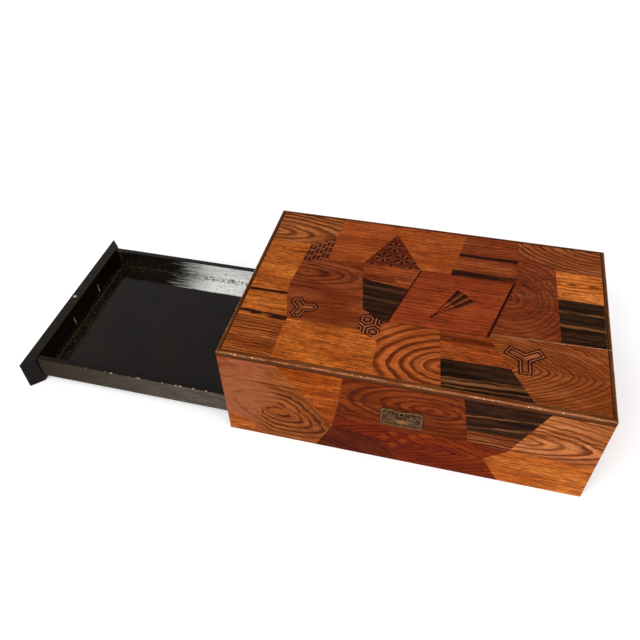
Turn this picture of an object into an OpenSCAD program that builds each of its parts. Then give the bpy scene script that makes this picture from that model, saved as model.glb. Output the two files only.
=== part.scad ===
// Travelling writing desk in patchwork marquetry.
// A flat box is sawn apart on a sloping seam. The lid folds right over on two hinges along the
// back, and the two halves then make one long writing slope with a hinged flap in each half.
// A lacquered drawer with a mitred front pulls out of the left side.
// Axes: +X to the right, front face towards -Y, +Z up. The origin is the centre of the underside.

/* [Box] */
// Width of the closed box
body_w = 420; // [380:1:470]
// Depth of the closed box, front to back
body_d = 267; // [245:1:300]
// Height of the closed box
body_h = 144; // [138:1:165]
// Height of the opening seam at the front face
seam_front = 101.2; // [92:0.1:112]
// Gap between case and lid along the seam
seam_gap = 0.4; // [0.3:0.1:0.8]
// Thickness of a wall together with its marquetry skin
wall_t = 14.2; // [13.5:0.1:18]
// Thickness of the marquetry skin
skin_t = 1.5; // [1:0.1:2.5]
// Thickness of the bottom board
bottom_t = 9; // [6:0.5:12]
// Thickness of the dust board over the drawer
dust_t = 5; // [3:0.5:8]
// Gap left between two marquetry tiles as a glue line
glue_line = 0.1; // [0.06:0.02:0.2]

/* [Edge moulding] */
// Width of the moulding seen from above
mould_w = 5.4; // [4.5:0.1:9]
// Height of the moulding on the lid's sides
mould_h = 8.2; // [7:0.1:12]
// Radius of the moulding's outer bead
bead_r = 3; // [2:0.1:3.8]
// How far the bead stands out from the side face
mould_proud = 0.6; // [0:0.1:1]
// Radius of the moulding's worn corners, seen from above
corner_r = 2.2; // [1:0.2:4]

/* [Drawer] */
// How far the drawer is pulled out as modelled
drawer_out = 284.6; // [0:0.1:300]
// Height of the top edge of the drawer front
drawer_top = 42.75; // [38:0.05:48]
// Gap between the drawer front and the surface the desk stands on
drawer_lift = 0.8; // [0.3:0.1:2]
// Gap between the drawer front and the wall above it
drawer_gap = 0.45; // [0.3:0.05:1]
// Sideways gap at the mitred ends of the drawer front
mitre_gap = 0.45; // [0.4:0.05:1]
// Thickness of the drawer's sides and back
tray_t = 7; // [5:0.5:9]
// How far the drawer's sides stop below the top of its front
tray_drop = 1.2; // [0.8:0.1:4]
// Thickness of the drawer's bottom board
tray_bottom_t = 4.6; // [3:0.2:7]
// Running gap under and beside the drawer
tray_gap = 0.3; // [0.25:0.05:1]
// Thickness of the guide strips beside the drawer
guide_t = 2.2; // [1.5:0.1:4]
// Height of the guide strips beside the drawer
guide_h = 14; // [8:0.5:26]
// Gap behind the shut drawer
tray_end_gap = 1.3; // [0.5:0.1:5]

/* [Writing flaps] */
// Thickness of a writing flap
flap_t = 6; // [4:0.5:9]
// How far the flaps lie below the seam
flap_recess = 2.2; // [2:0.1:3]
// Gap round the edges of a flap
flap_gap = 0.5; // [0.4:0.1:1]
// Gap between a flap and the ledges under it
flap_rest_gap = 0.2; // [0.2:0.05:0.5]
// Distance from the main hinge line to a flap's hinge line
flap_axis = 31; // [28:1:40]
// Width and height of the ledges under the flaps
ledge_s = 6; // [4:0.5:9]
// Radius of the finger notch in a flap's free edge
notch_r = 9; // [6:0.5:14]

/* [Pen section] */
// Inside depth of the pen section along the front wall
pen_d = 49.3; // [40:0.1:60]
// Thickness of the pen rail behind it
pen_rail_t = 6; // [4:0.5:9]
// Inside width of the ink bay at each end
ink_bay_w = 52; // [44:1:70]
// Thickness of the cross dividers
divider_t = 5; // [3:0.5:8]
// Height of the pen tray's underside
pen_tray_z = 68; // [62:1:74]
// Thickness of the pen tray
pen_tray_t = 12; // [9:0.5:14]
// Radius of the trough in the pen tray
trough_r = 30; // [26:1:45]
// Depth of the trough in the pen tray
trough_depth = 8; // [4:0.5:9]

/* [Main hinges] */
// How far the hinge pins stand behind the back face
hinge_proud = 1.2; // [1:0.1:1.8]
// Distance of each hinge's middle from the centre line
hinge_x = 135; // [90:1:160]
// Length of a hinge
hinge_l = 46; // [34:1:60]
// Width of a hinge leaf
leaf_w = 12; // [10:0.5:13]
// Thickness of a hinge leaf
leaf_t = 1.2; // [1:0.1:1.6]
// Outer radius of the hinge knuckles
knuckle_r = 2.4; // [2.2:0.1:2.8]
// Radius of the hinge pins
hinge_pin_r = 1.2; // [0.9:0.1:1.4]
// Running clearance round pins
pin_clear = 0.05; // [0.02:0.01:0.1]
// Radius of a hinge screw's head
screw_head_r = 1.9; // [1.6:0.1:2.2]
// Radius of a hinge screw's shank
screw_r = 1; // [0.7:0.1:1.2]
// Length of a hinge screw
screw_l = 10; // [6:0.5:14]

/* [Flap hinges] */
// Distance of the case flap's hinges from the centre line
case_flap_hinge_x = 150; // [110:1:170]
// Distance of the lid flap's hinges from the centre line
lid_flap_hinge_x = 100; // [50:1:150]
// Length of a flap hinge
flap_hinge_l = 24; // [18:1:36]
// Width of a flap hinge's leaf
flap_leaf_w = 8; // [6:0.5:12]
// Thickness of a flap hinge's leaf
flap_leaf_t = 1; // [0.8:0.1:1.3]
// Outer radius of a flap hinge's knuckles
flap_knuckle_r = 1.6; // [1.3:0.1:1.8]
// Radius of a flap hinge's pin
flap_pin_r = 0.6; // [0.5:0.1:0.8]

/* [Lock] */
// Width of the lock body
lock_w = 44; // [38:1:56]
// Depth of the lock body from front to back
lock_d = 9.2; // [8:0.1:9.6]
// Height of the lock body
lock_h = 27; // [24:1:32]
// Thickness of the lock body's metal
lock_sheet = 1.2; // [0.8:0.1:1.6]
// How far the lock plate laps past each side of the lock body
plate_lap = 1.7; // [1:0.1:4]
// Height of the lock plate
plate_h = 29.8; // [24:0.2:34]
// Thickness of the lock plate
plate_t = 1; // [0.6:0.1:1.5]
// Height of the lock plate's underside
plate_z = 69.5; // [60:0.5:72]
// Radius of the round part of the keyhole
keyhole_r = 2.2; // [1.6:0.1:3]
// Height of the round part of the keyhole
keyhole_z = 91.4; // [86:0.2:94]
// Distance between the two staples of the hook plate
staple_pitch = 20; // [18:0.5:24]
// Length of the staples
staple_l = 8; // [7:0.5:9]
// Travel of the bolt
bolt_throw = 4.5; // [3.5:0.1:5]

/* [Drawer pin and handle] */
// Radius of the pin that locks the drawer
lock_pin_r = 1.2; // [1:0.1:1.5]
// Radius of the locking pin's head
lock_pin_head_r = 2.5; // [2:0.1:2.8]
// Travel of the locking pin
lock_pin_travel = 8; // [5:0.5:9]
// Distance of the locking pin from the outer face
lock_pin_inset = 5.3; // [5:0.1:8]
// Outer radius of the brass bush in the drawer front
bush_r = 2.3; // [1.9:0.1:3]
// Distance between the handle's two posts
handle_pitch = 70.4; // [50:0.2:100]
// Sideways place of the handle on the drawer front
handle_y = 9; // [-20:0.5:20]
// Height of the handle's posts
handle_z = 22.6; // [18:0.2:28]
// Radius of the handle's rod
bail_r = 1.5; // [1.2:0.1:2]
// Drop of the handle below its posts
bail_drop = 15; // [11:0.5:18]
// Distance of the handle's hinge line from the drawer front
bail_out = 5; // [4:0.5:8]

/* [Hidden] */
$fn = 48;
far = 1000;
eps = 0.01;

// Half sizes of the box, and of the room between its walls
half_w = body_w / 2;
half_d = body_d / 2;
in_x = half_w - wall_t;
in_y = half_d - wall_t;

// The main hinge line, and the slope of the seam that runs through it
fold_rise = 0.15;
hinge_y = half_d + hinge_proud;
hinge_z = body_h / 2 + fold_rise;
slope = atan((seam_front - hinge_z) / (half_d + hinge_y));

// Drawer mouth, tray and lid heights
mouth_top = drawer_top + drawer_gap;
floor_z = mouth_top + dust_t;
tray_z = bottom_t + tray_gap;
tray_floor = tray_z + tray_bottom_t;
tray_top = drawer_top - tray_drop;
tray_y = in_y - guide_t - tray_gap;
tray_end = in_x - tray_end_gap;
side_h = body_h - mould_h;
top_x = half_w - mould_w;
top_y = half_d - mould_w;

// Pen section
pen_back = -in_y + pen_d;
divider_x = in_x - ink_bay_w - divider_t;

// Lock, bolt and hook plate
lock_top = seam_front - 1.8;
lock_z = lock_top - lock_h;
lock_y = -in_y - lock_d / 2;
plate_w = lock_w + 2 * plate_lap;
staple_t = 2;
staple_w = 4;
staple_clear = 1;
staple_hole_r = 1.35;
finger_r = 1;
hook_t = 1.2;
staple_rim = seam_z(lock_y) + seam_gap / 2;
finger_z = staple_rim - staple_l + staple_hole_r + 1;
bolt_bar_h = 2.6;
bolt_drop = 9;
bolt_room = 10;
bolt_z = finger_z - bolt_drop;

// Locking pin of the drawer
lock_pin_x = -half_w + lock_pin_inset;
lock_pin_y = 1.4;
lock_pin_head_h = 1.6;
fillet_w = 6.8;
fillet_h = 0.8;
rim_z = seam_z(lock_pin_y) - seam_gap;
pin_head_z = rim_z - lock_pin_head_h;
pin_head_clear = 0.4;
bush_depth = 9;

// Handle
post_r = 6;
post_t = 0.9;
eye_w = 5;
eye_r = 3;
tail_w = 1.2;
tail_t = 0.6;
tail_h = 12.6;
bail_bend = 6;

// Rhombus in the top's marquetry: the dark stringing's outer and inner outlines
rhombus_outer = [[-9, 48], [105, 48], [79.5, -47.8], [-34, -47.8], [-19, 10]];
rhombus_inner = [[-7.2, 47.4], [103.2, 47.4], [78, -47.2], [-32.3, -47.2], [-17.4, 9.9]];

// Outlines of the top's marquetry in a panel of this size, shared corners written alike
top_design = [409.2, 256.2];
top_layout = [
    ["brown", [[-204.6, 128.1], [-121, 128.1], [-124, 86], [-153, 70], [-204.6, 65.5]]],
    ["light", [[-204.6, 65.5], [-153, 70], [-156, 32.5], [-160, -9.5], [-157, -32.5],
        [-146.5, -68], [-148, -74], [-204.6, -72.5]]],
    ["brown", [[-204.6, -72.5], [-148, -74], [-148.5, -128.1], [-204.6, -128.1]]],
    ["light", [[-146.5, -68], [-65, -67], [-48.5, -76], [-39.5, -82], [-38.5, -128.1],
        [-148.5, -128.1], [-148, -74]]],
    ["dark", [[-156, 32.5], [-124.5, 43], [-79.5, 47.5], [-75.5, 18.3], [-65, -34], [-59, -37],
        [-65, -47.5], [-65, -67], [-146.5, -68], [-157, -32.5], [-160, -9.5]]],
    ["light", [[-121, 128.1], [-43.5, 128.1], [-47.5, 112], [-79.5, 47.5], [-124.5, 43],
        [-124, 86]]],
    ["brown", [[-79.5, 47.5], [-9, 48], [-19, 10], [-75.5, 18.3]]],
    ["ebony", [[-75.5, 18.3], [-19, 10], [-34, -47.8], [-39.5, -49.5], [-59, -37], [-65, -34]]],
    ["red", rhombus_inner],
    ["light", [[-43.5, 128.1], [41, 128.1], [27.5, 48], [-9, 48], [-47.5, 112]]],
    ["brown", [[41, 128.1], [106, 128.1], [106, 100], [105, 48], [27.5, 48]]],
    ["brown", [[106, 128.1], [204.6, 128.1], [204.6, 82], [151, 83], [129.5, 93], [106, 100]]],
    ["dark", [[106, 100], [129.5, 93], [151, 83], [153.5, 32.5], [157, -38], [81.7, -39.5],
        [105, 48]]],
    ["light", [[151, 83], [204.6, 82], [204.6, 32.5], [153.5, 32.5]]],
    ["ebony", [[153.5, 32.5], [204.6, 32.5], [204.6, -37], [157, -38]]],
    ["light", [[81.7, -39.5], [157, -38], [204.6, -37], [204.6, -128.1], [130.5, -128.1],
        [105, -88], [79.5, -47.8]]],
    ["light", [[25.3, -47.8], [79.5, -47.8], [105, -88], [31, -89.5]]],
    ["ebony", [[31, -89.5], [105, -88], [130.5, -128.1], [36, -128.1]]],
    ["brown", [[-34, -47.8], [25.3, -47.8], [31, -89.5], [36, -128.1], [-38.5, -128.1],
        [-39.5, -82], [-48.5, -76], [-39.5, -69], [-39.5, -49.5]]],
    ["inlay", [[-124, 86], [-153, 70], [-156, 32.5], [-124.5, 43]]],
    ["inlay", [[-47.5, 112], [-9, 48], [-79.5, 47.5]]],
    ["inlay", [[-59, -37], [-39.5, -49.5], [-39.5, -69], [-48.5, -76], [-65, -67],
        [-65, -47.5]]]
];

// Three-armed figures let into the top: centre, turn, arm length and how far its end is pointed
tri_figures = [[[-134.8, -46.5], 12, 14.6, 5.2], [[119, -70.3], 33, 22.7, 0]];
tri_half = 7.4;

// Folding fan let into the rhombus: pivot, then radii of the ribs' start and of the leaf
fan_pivot = [14.2, -28.6];
fan_r = [8, 31, 56.5];
fan_angles = [33.3, 64.6];
fan_blades = 6;
fan_step = (fan_angles[1] - fan_angles[0]) / fan_blades;
fan_pivot_r = 1.7;

// Outlines of the side faces' marquetry, in width and height from the underside
front_design = [420, 135.8];
front_layout = [
    ["brown", [[-210, 135.8], [-140, 135.8], [-112, 91], [-79, 45], [-87, 27], [-100, 0],
        [-172, 0], [-180, 26], [-210, 30]]],
    ["light", [[-210, 30], [-180, 26], [-172, 0], [-210, 0]]],
    ["light", [[-140, 135.8], [-67, 135.8], [-70, 101], [-76, 62], [-79, 45], [-112, 91]]],
    ["dark", [[-79, 45], [-30, 37], [3, 0], [-100, 0], [-87, 27]]],
    ["red", [[-67, 135.8], [62, 135.8], [71, 86], [75, 64], [-76, 62], [-70, 101]]],
    ["dark", [[-76, 62], [75, 64], [119, 60], [95, 38], [117, 0], [3, 0], [-30, 37],
        [-79, 45]]],
    ["ebony", [[62, 135.8], [149, 135.8], [129, 86], [71, 86]]],
    ["brown", [[71, 86], [129, 86], [119, 60], [75, 64]]],
    ["light", [[149, 135.8], [210, 135.8], [210, 58], [119, 60], [129, 86]]],
    ["light", [[119, 60], [210, 58], [210, 0], [117, 0], [95, 38]]]
];
back_layout = [
    ["light", [[-210, 135.8], [-118, 135.8], [-96, 88], [-150, 60], [-210, 76]]],
    ["red", [[-118, 135.8], [-20, 135.8], [-34, 74], [-96, 88]]],
    ["brown", [[-20, 135.8], [84, 135.8], [70, 66], [-34, 74]]],
    ["ebony", [[84, 135.8], [152, 135.8], [138, 80], [70, 66]]],
    ["light", [[152, 135.8], [210, 135.8], [210, 50], [138, 80]]],
    ["brown", [[-210, 76], [-150, 60], [-128, 22], [-146, 0], [-210, 0]]],
    ["light", [[-150, 60], [-96, 88], [-34, 74], [-52, 30], [-128, 22]]],
    ["dark", [[-34, 74], [70, 66], [96, 24], [80, 0], [-64, 0], [-52, 30]]],
    ["ebony", [[-128, 22], [-52, 30], [-64, 0], [-146, 0]]],
    ["red", [[70, 66], [138, 80], [210, 50], [210, 0], [80, 0], [96, 24]]]
];
side_design = [267, 135.8];
side_layout = [
    ["light", [[-133.5, 135.8], [-38, 135.8], [-60, 82], [-96, 64], [-133.5, 72]]],
    ["red", [[-38, 135.8], [52, 135.8], [40, 70], [-60, 82]]],
    ["light", [[52, 135.8], [133.5, 135.8], [133.5, 60], [84, 52], [40, 70]]],
    ["dark", [[-133.5, 72], [-96, 64], [-60, 82], [-46, 30], [-66, 0], [-133.5, 0]]],
    ["brown", [[-60, 82], [40, 70], [84, 52], [60, 26], [-46, 30]]],
    ["ebony", [[60, 26], [84, 52], [133.5, 60], [133.5, 34], [98, 0], [52, 0]]],
    ["light", [[-46, 30], [60, 26], [52, 0], [-66, 0]]],
    ["brown", [[133.5, 34], [133.5, 0], [98, 0]]]
];

lacquer = [0.1, 0.09, 0.08];
carcass = [0.42, 0.27, 0.16];
brass = [0.62, 0.5, 0.28];
moulding_brown = [0.3, 0.17, 0.1];

function wood_colour(wood) =
    wood == "light" ? [0.72, 0.42, 0.16]
    : wood == "brown" ? [0.55, 0.3, 0.14]
    : wood == "red" ? [0.5, 0.22, 0.11]
    : wood == "dark" ? [0.4, 0.2, 0.1]
    : wood == "inlay" ? [0.33, 0.15, 0.09]
    : [0.14, 0.1, 0.08];

// Height of the seam's middle plane at a depth y
function seam_z(y) = hinge_z + (hinge_y - y) * tan(slope);

// Place along the slope of a point at world depth y, lying z above the seam's middle plane
function along(y, z) = (y - hinge_y - z * sin(slope)) / cos(slope);

function unit(v) = v / norm(v);
function twice_area(pts) = let (n = len(pts))
    [for (i = [0 : n - 1]) let (a = pts[i], b = pts[(i + 1) % n]) a[0] * b[1] - b[0] * a[1]]
    * [for (i = [0 : n - 1]) 1];

// Outline moved inwards by d along every edge
function inset(pts, d) = let (n = len(pts), s = sign(twice_area(pts))) [
    for (i = [0 : n - 1])
        let (
            before = unit(pts[i] - pts[(i + n - 1) % n]),
            after = unit(pts[(i + 1) % n] - pts[i]),
            m = s * [-before[1], before[0]],
            k = s * [-after[1], after[0]]
        )
        pts[i] + (m + k) * d / (1 + m * k)
];

// Outline of a layout stretched to the face it covers
function fitted(pts, ratio) = [for (p = pts) [p[0] * ratio[0], p[1] * ratio[1]]];

// Rectangle with rounded corners about the origin
module rounded(w, d, r) {
    square([w - 2 * r, d], center = true);
    square([w, d - 2 * r], center = true);
    for (x = [r - w / 2, w / 2 - r])
        for (y = [r - d / 2, d / 2 - r])
            translate([x, y])
                circle(r);
}

// A frame whose y runs down the slope towards the hinges and whose z stands square to the seam
module slope_frame() {
    translate([0, hinge_y, hinge_z])
        rotate([-slope, 0, 0])
            children();
}

// Keeps what lies below the plane that is offset from the seam's middle
module below_slope(offset) {
    difference() {
        children();
        slope_frame()
            translate([-far, -far, offset])
                cube([2 * far, 2 * far, far]);
    }
}

// Keeps what lies above the plane that is offset from the seam's middle
module above_slope(offset) {
    difference() {
        children();
        slope_frame()
            translate([-far, -far, offset - far])
                cube([2 * far, 2 * far, far]);
    }
}

module case_half() below_slope(-seam_gap / 2) children();

module lid_half() above_slope(seam_gap / 2) children();

// A block given by its lowest and highest corners
module block(low, high) {
    translate(low)
        cube(high - low);
}

// Room between the walls, from the bottom to under the lid board
module between_walls() {
    intersection() {
        children();
        block([-in_x, -in_y, 0], [in_x, in_y, side_h]);
    }
}

module along_x(r, l) {
    rotate([0, 90, 0])
        cylinder(r = r, h = l, center = true);
}

module along_y(r, l) {
    rotate([90, 0, 0])
        cylinder(r = r, h = l, center = true);
}

module both_sides() {
    children();
    mirror([1, 0, 0])
        children();
}

// Wedge taken off the front and back walls where the drawer front's mitres meet them
module mitre_wedges() {
    reach = wall_t + 1;
    for (side = [0, 1])
        mirror([0, side, 0])
            translate([0, 0, -1])
                linear_extrude(mouth_top + 1)
                    polygon([
                        [-half_w - 1, -half_d - 1],
                        [-half_w + reach, -half_d + reach],
                        [-half_w - 1, -half_d + reach]
                    ]);
}

// Space taken by the knuckles and leaves of the main hinges
module hinge_room() {
    both_sides()
        slope_frame()
            translate([hinge_x, 0, 0]) {
                along_x(knuckle_r + 0.3, hinge_l + 0.6);
                translate([-hinge_l / 2, -leaf_w, -seam_gap / 2 - leaf_t])
                    cube([hinge_l, leaf_w, seam_gap + 2 * leaf_t]);
                for (x = hinge_screw_x())
                    translate([x, -leaf_w * 0.62, 0])
                        cylinder(r = screw_r, h = 2 * screw_l + seam_gap, center = true);
            }
}

function hinge_screw_x() = [-hinge_l / 3, 0, hinge_l / 3];

// Case walls and boards

module bottom_board() {
    color(carcass)
        block([-in_x + mitre_gap, -in_y, 0], [in_x, in_y, bottom_t]);
}

module wall_front_core() {
    block([-half_w + skin_t, -half_d + skin_t, 0], [half_w - skin_t, -in_y, side_h]);
}

module wall_back_core() {
    block([-half_w + skin_t, in_y, 0], [half_w - skin_t, half_d - skin_t, side_h]);
}

module wall_left_core(low) {
    block([-half_w + skin_t, -in_y, low], [-in_x, in_y, side_h]);
}

module wall_right_core() {
    block([in_x, -in_y, 0], [half_w - skin_t, in_y, side_h]);
}

// Keyhole from outside to the inner face of the lock's front sheet
module keyhole() {
    depth = wall_t - lock_d + lock_sheet;
    translate([0, -half_d, keyhole_z]) {
        along_y(keyhole_r, 2 * depth);
        translate([-keyhole_r * 0.45, -depth, -keyhole_r * 3])
            cube([keyhole_r * 0.9, 2 * depth, keyhole_r * 3]);
    }
}

module lock_mortise() {
    block([-lock_w / 2, -in_y - lock_d, lock_z], [lock_w / 2, -in_y + 1, body_h]);
}

module case_front_wall() {
    color(carcass)
        difference() {
            case_half() wall_front_core();
            mitre_wedges();
            lock_mortise();
            keyhole();
            plate_pin_places() along_y(plate_pin_r, 2 * plate_pin_l);
        }
}

module case_back_wall() {
    color(carcass)
        difference() {
            case_half() wall_back_core();
            mitre_wedges();
            hinge_room();
        }
}

// Bore, head recess and finger notch of the drawer's locking pin
module lock_pin_room() {
    recess_z = pin_head_z - lock_pin_travel;
    recess_r = lock_pin_head_r + pin_head_clear;
    translate([lock_pin_x, lock_pin_y, 0]) {
        cylinder(r = lock_pin_r + pin_clear, h = body_h);
        translate([0, 0, recess_z])
            cylinder(r = recess_r, h = body_h);
        translate([0, -recess_r, recess_z])
            cube([wall_t, 2 * recess_r, body_h]);
    }
}

module case_left_wall() {
    color(carcass)
        difference() {
            case_half() wall_left_core(mouth_top);
            lock_pin_room();
        }
}

module case_right_wall() {
    color(carcass)
        case_half() wall_right_core();
}

module dust_board() {
    color(carcass)
        block([-in_x, -in_y, mouth_top], [in_x, in_y, floor_z]);
}

module drawer_guides() {
    color(carcass)
        for (side = [0, 1])
            mirror([0, side, 0])
                block([-in_x + 2, in_y - guide_t, bottom_t], [in_x, in_y, bottom_t + guide_h]);
}

// Pen section at the high side of the case

module pen_rail() {
    color(lacquer)
        below_slope(-flap_recess)
            block([-in_x, pen_back, floor_z], [in_x, pen_back + pen_rail_t, side_h]);
}

module pen_dividers() {
    color(lacquer)
        below_slope(-flap_recess)
            both_sides()
                block([divider_x, -in_y, floor_z], [divider_x + divider_t, pen_back, side_h]);
}

module pen_tray_ledges() {
    color(lacquer)
        both_sides()
            block([divider_x - ledge_s, -in_y, pen_tray_z - ledge_s], [divider_x, pen_back, pen_tray_z]);
}

module pen_tray() {
    play = 0.3;
    top = pen_tray_z + pen_tray_t;
    color(lacquer)
        difference() {
            block([-divider_x + play, -in_y + play, pen_tray_z], [divider_x - play, pen_back - play, top]);
            translate([0, (pen_back - in_y) / 2, top + trough_r - trough_depth])
                along_x(trough_r, 2 * (divider_x - 2 * tray_t));
        }
}

// Writing flaps, with the rails they hinge on and the ledges they lie on.
// Each is drawn for the case, below the seam, and mirrored in the seam for the lid.

flap_top = -flap_recess;
flap_under = flap_top - flap_t;
ledge_top = flap_under - flap_rest_gap;

module ledges(front) {
    between_walls()
        slope_frame()
            both_sides()
                block([in_x - ledge_s, front, ledge_top - ledge_s], [in_x, -leaf_w - 4, ledge_top]);
}

module hinge_rail(hinge_at) {
    difference() {
        between_walls()
            slope_frame()
                block([-in_x, -flap_axis + flap_gap / 2, ledge_top], [in_x, 0, flap_top]);
        flap_hinge_room(hinge_at);
    }
}

module flap_board(front, hinge_at) {
    difference() {
        slope_frame()
            block(
                [-in_x + flap_gap, front, flap_under],
                [in_x - flap_gap, -flap_axis - flap_gap / 2, flap_top]
            );
        flap_hinge_room(hinge_at);
        slope_frame()
            translate([0, front, flap_under])
                cylinder(r = notch_r, h = 3 * flap_t, center = true);
    }
}

module flap_hinge_room(hinge_at) {
    both_sides()
        slope_frame()
            translate([hinge_at, -flap_axis, flap_top]) {
                along_x(flap_knuckle_r + 0.15, flap_hinge_l + 0.4);
                translate([-flap_hinge_l / 2, -flap_leaf_w, -flap_leaf_t])
                    cube([flap_hinge_l, 2 * flap_leaf_w, flap_leaf_t + eps]);
            }
}

// Leaf of a hinge with its share of the knuckles. The pin lies on the X axis.
module leaf(l, w, t, kr, bore, pieces, mine, drop) {
    part_l = l / pieces;
    gap = 0.15;
    difference() {
        union() {
            translate([-l / 2, -w, -t - drop])
                cube([l, w - kr - 0.3, t]);
            for (i = mine)
                translate([-l / 2 + i * part_l + gap, 0, 0]) {
                    translate([0, -kr - 0.4, -t - drop])
                        cube([part_l - 2 * gap, kr + 0.4, t]);
                    translate([part_l / 2 - gap, 0, 0])
                        along_x(kr, part_l - 2 * gap);
                }
        }
        along_x(bore, l + 1);
    }
}

module flap_leaf(bore, mine) {
    leaf(flap_hinge_l, flap_leaf_w, flap_leaf_t, flap_knuckle_r, bore, 3, mine, 0);
}

module flap_leaves(hinge_at, moving) {
    both_sides()
        slope_frame()
            translate([hinge_at, -flap_axis, flap_top]) {
                if (moving)
                    flap_leaf(flap_pin_r + pin_clear, [1]);
                else {
                    mirror([0, 1, 0])
                        flap_leaf(flap_pin_r - 0.1, [0, 2]);
                    along_x(flap_pin_r, flap_hinge_l);
                }
            }
}

// Mirrors a case part in the seam's middle plane
module in_lid() {
    slope_frame()
        mirror([0, 0, 1])
            rotate([slope, 0, 0])
                translate([0, -hinge_y, -hinge_z])
                    children();
}

case_flap_front = along(pen_back + pen_rail_t, flap_under) + flap_gap;
case_ledge_front = along(pen_back + pen_rail_t, flap_under) + 1;
lid_flap_front = along(-in_y, flap_recess) + flap_gap;
lid_ledge_front = along(-in_y, -flap_recess);

module case_flap_ledges() {
    color(lacquer) ledges(case_ledge_front);
}

module case_hinge_rail() {
    color(lacquer) hinge_rail(case_flap_hinge_x);
}

module case_flap() {
    color(lacquer) flap_board(case_flap_front, case_flap_hinge_x);
}

module case_flap_fixed_leaves() {
    color(brass) flap_leaves(case_flap_hinge_x, false);
}

module case_flap_moving_leaves() {
    color(brass) flap_leaves(case_flap_hinge_x, true);
}

module lid_flap_ledges() {
    color(lacquer)
        between_walls()
            slope_frame()
                both_sides()
                    block(
                        [in_x - ledge_s, lid_ledge_front - 4, -ledge_top],
                        [in_x, -leaf_w - 4, -ledge_top + ledge_s]
                    );
}

module lid_hinge_rail() {
    color(lacquer)
        difference() {
            between_walls()
                slope_frame()
                    block([-in_x, -flap_axis + flap_gap / 2, -flap_top], [in_x, 1, -ledge_top]);
            in_lid() flap_hinge_room(lid_flap_hinge_x);
        }
}

module lid_flap() {
    color(lacquer) in_lid() flap_board(lid_flap_front, lid_flap_hinge_x);
}

module lid_flap_fixed_leaves() {
    color(brass) in_lid() flap_leaves(lid_flap_hinge_x, false);
}

module lid_flap_moving_leaves() {
    color(brass) in_lid() flap_leaves(lid_flap_hinge_x, true);
}

// Main hinges: three knuckles on the case leaf, two on the lid leaf

module screwed_leaf(mine, bore) {
    difference() {
        leaf(hinge_l, leaf_w, leaf_t, knuckle_r, bore, 5, mine, seam_gap / 2);
        for (x = hinge_screw_x())
            translate([x, -leaf_w * 0.62, -seam_gap / 2])
                screw_shape();
    }
}

module screw_shape() {
    head_h = leaf_t * 0.6;
    translate([0, 0, -head_h])
        cylinder(r = screw_head_r, h = head_h);
    translate([0, 0, -screw_l])
        cylinder(r = screw_r, h = screw_l);
}

module case_hinge_leaves() {
    color(brass)
        both_sides()
            slope_frame()
                translate([hinge_x, 0, 0])
                    screwed_leaf([0, 2, 4], hinge_pin_r);
}

module hinge_pins() {
    color(brass)
        both_sides()
            slope_frame()
                translate([hinge_x, 0, 0])
                    along_x(hinge_pin_r, hinge_l);
}

module hinge_screws() {
    both_sides()
        slope_frame()
            translate([hinge_x, 0, 0])
                for (x = hinge_screw_x())
                    translate([x, -leaf_w * 0.62, -seam_gap / 2])
                        screw_shape();
}

module case_hinge_screws() {
    color(brass) hinge_screws();
}

module lid_hinge_leaves() {
    color(brass)
        both_sides()
            slope_frame()
                mirror([0, 0, 1])
                    translate([hinge_x, 0, 0])
                        screwed_leaf([1, 3], hinge_pin_r + pin_clear);
}

module lid_hinge_screws() {
    color(brass) in_lid() hinge_screws();
}

// Marquetry skins

module tile(pts, t) {
    linear_extrude(t)
        polygon(inset(pts, glue_line / 2));
}

module tiles(layout, ratio, t) {
    for (piece = layout)
        color(wood_colour(piece[0]))
            tile(fitted(piece[1], ratio), t);
}

module on_front() {
    translate([0, -half_d + skin_t, 0])
        rotate([90, 0, 0])
            children();
}

module on_back() {
    translate([0, half_d, 0])
        rotate([90, 0, 0])
            children();
}

module on_left() {
    translate([-half_w, 0, 0])
        rotate([90, 0, 90])
            children();
}

module on_right() {
    mirror([1, 0, 0])
        on_left()
            mirror([1, 0, 0])
                children();
}

module front_tiles() {
    on_front() tiles(front_layout, [body_w / front_design[0], side_h / front_design[1]], skin_t);
}

module back_tiles() {
    on_back() tiles(back_layout, [body_w / front_design[0], side_h / front_design[1]], skin_t);
}

module side_tiles() {
    tiles(side_layout, [body_d / side_design[0], side_h / side_design[1]], skin_t);
}

// Side skins lie between the front and back skins
module between_skins(low) {
    intersection() {
        children();
        block([-body_w, -half_d + skin_t, low], [body_w, half_d - skin_t, body_h]);
    }
}

module case_front_skin() {
    difference() {
        case_half() front_tiles();
        mitre_wedges();
        keyhole();
        plate_pin_places() along_y(plate_pin_r, 2 * plate_pin_l);
    }
}

module case_back_skin() {
    difference() {
        case_half() back_tiles();
        mitre_wedges();
        hinge_room();
    }
}

module case_side_skins() {
    between_skins(mouth_top)
        case_half()
            on_left() side_tiles();
    between_skins(0)
        case_half()
            on_right() side_tiles();
}

module lid_front_skin() {
    lid_half() front_tiles();
}

module lid_back_skin() {
    difference() {
        lid_half() back_tiles();
        hinge_room();
    }
}

module lid_side_skins() {
    between_skins(0)
        lid_half() {
            on_left() side_tiles();
            on_right() side_tiles();
        }
}

// Lid walls, board and mouldings

module lid_front_skirt() {
    color(carcass)
        difference() {
            lid_half() wall_front_core();
            hook_plate_shape();
        }
}

module lid_back_skirt() {
    color(carcass)
        difference() {
            lid_half() wall_back_core();
            hinge_room();
        }
}

module lid_left_skirt() {
    color(carcass)
        lid_half() wall_left_core(0);
}

module lid_right_skirt() {
    color(carcass)
        lid_half() wall_right_core();
}

module lid_board() {
    color(carcass)
        block([-top_x, -top_y, side_h], [top_x, top_y, body_h - skin_t]);
}

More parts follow.
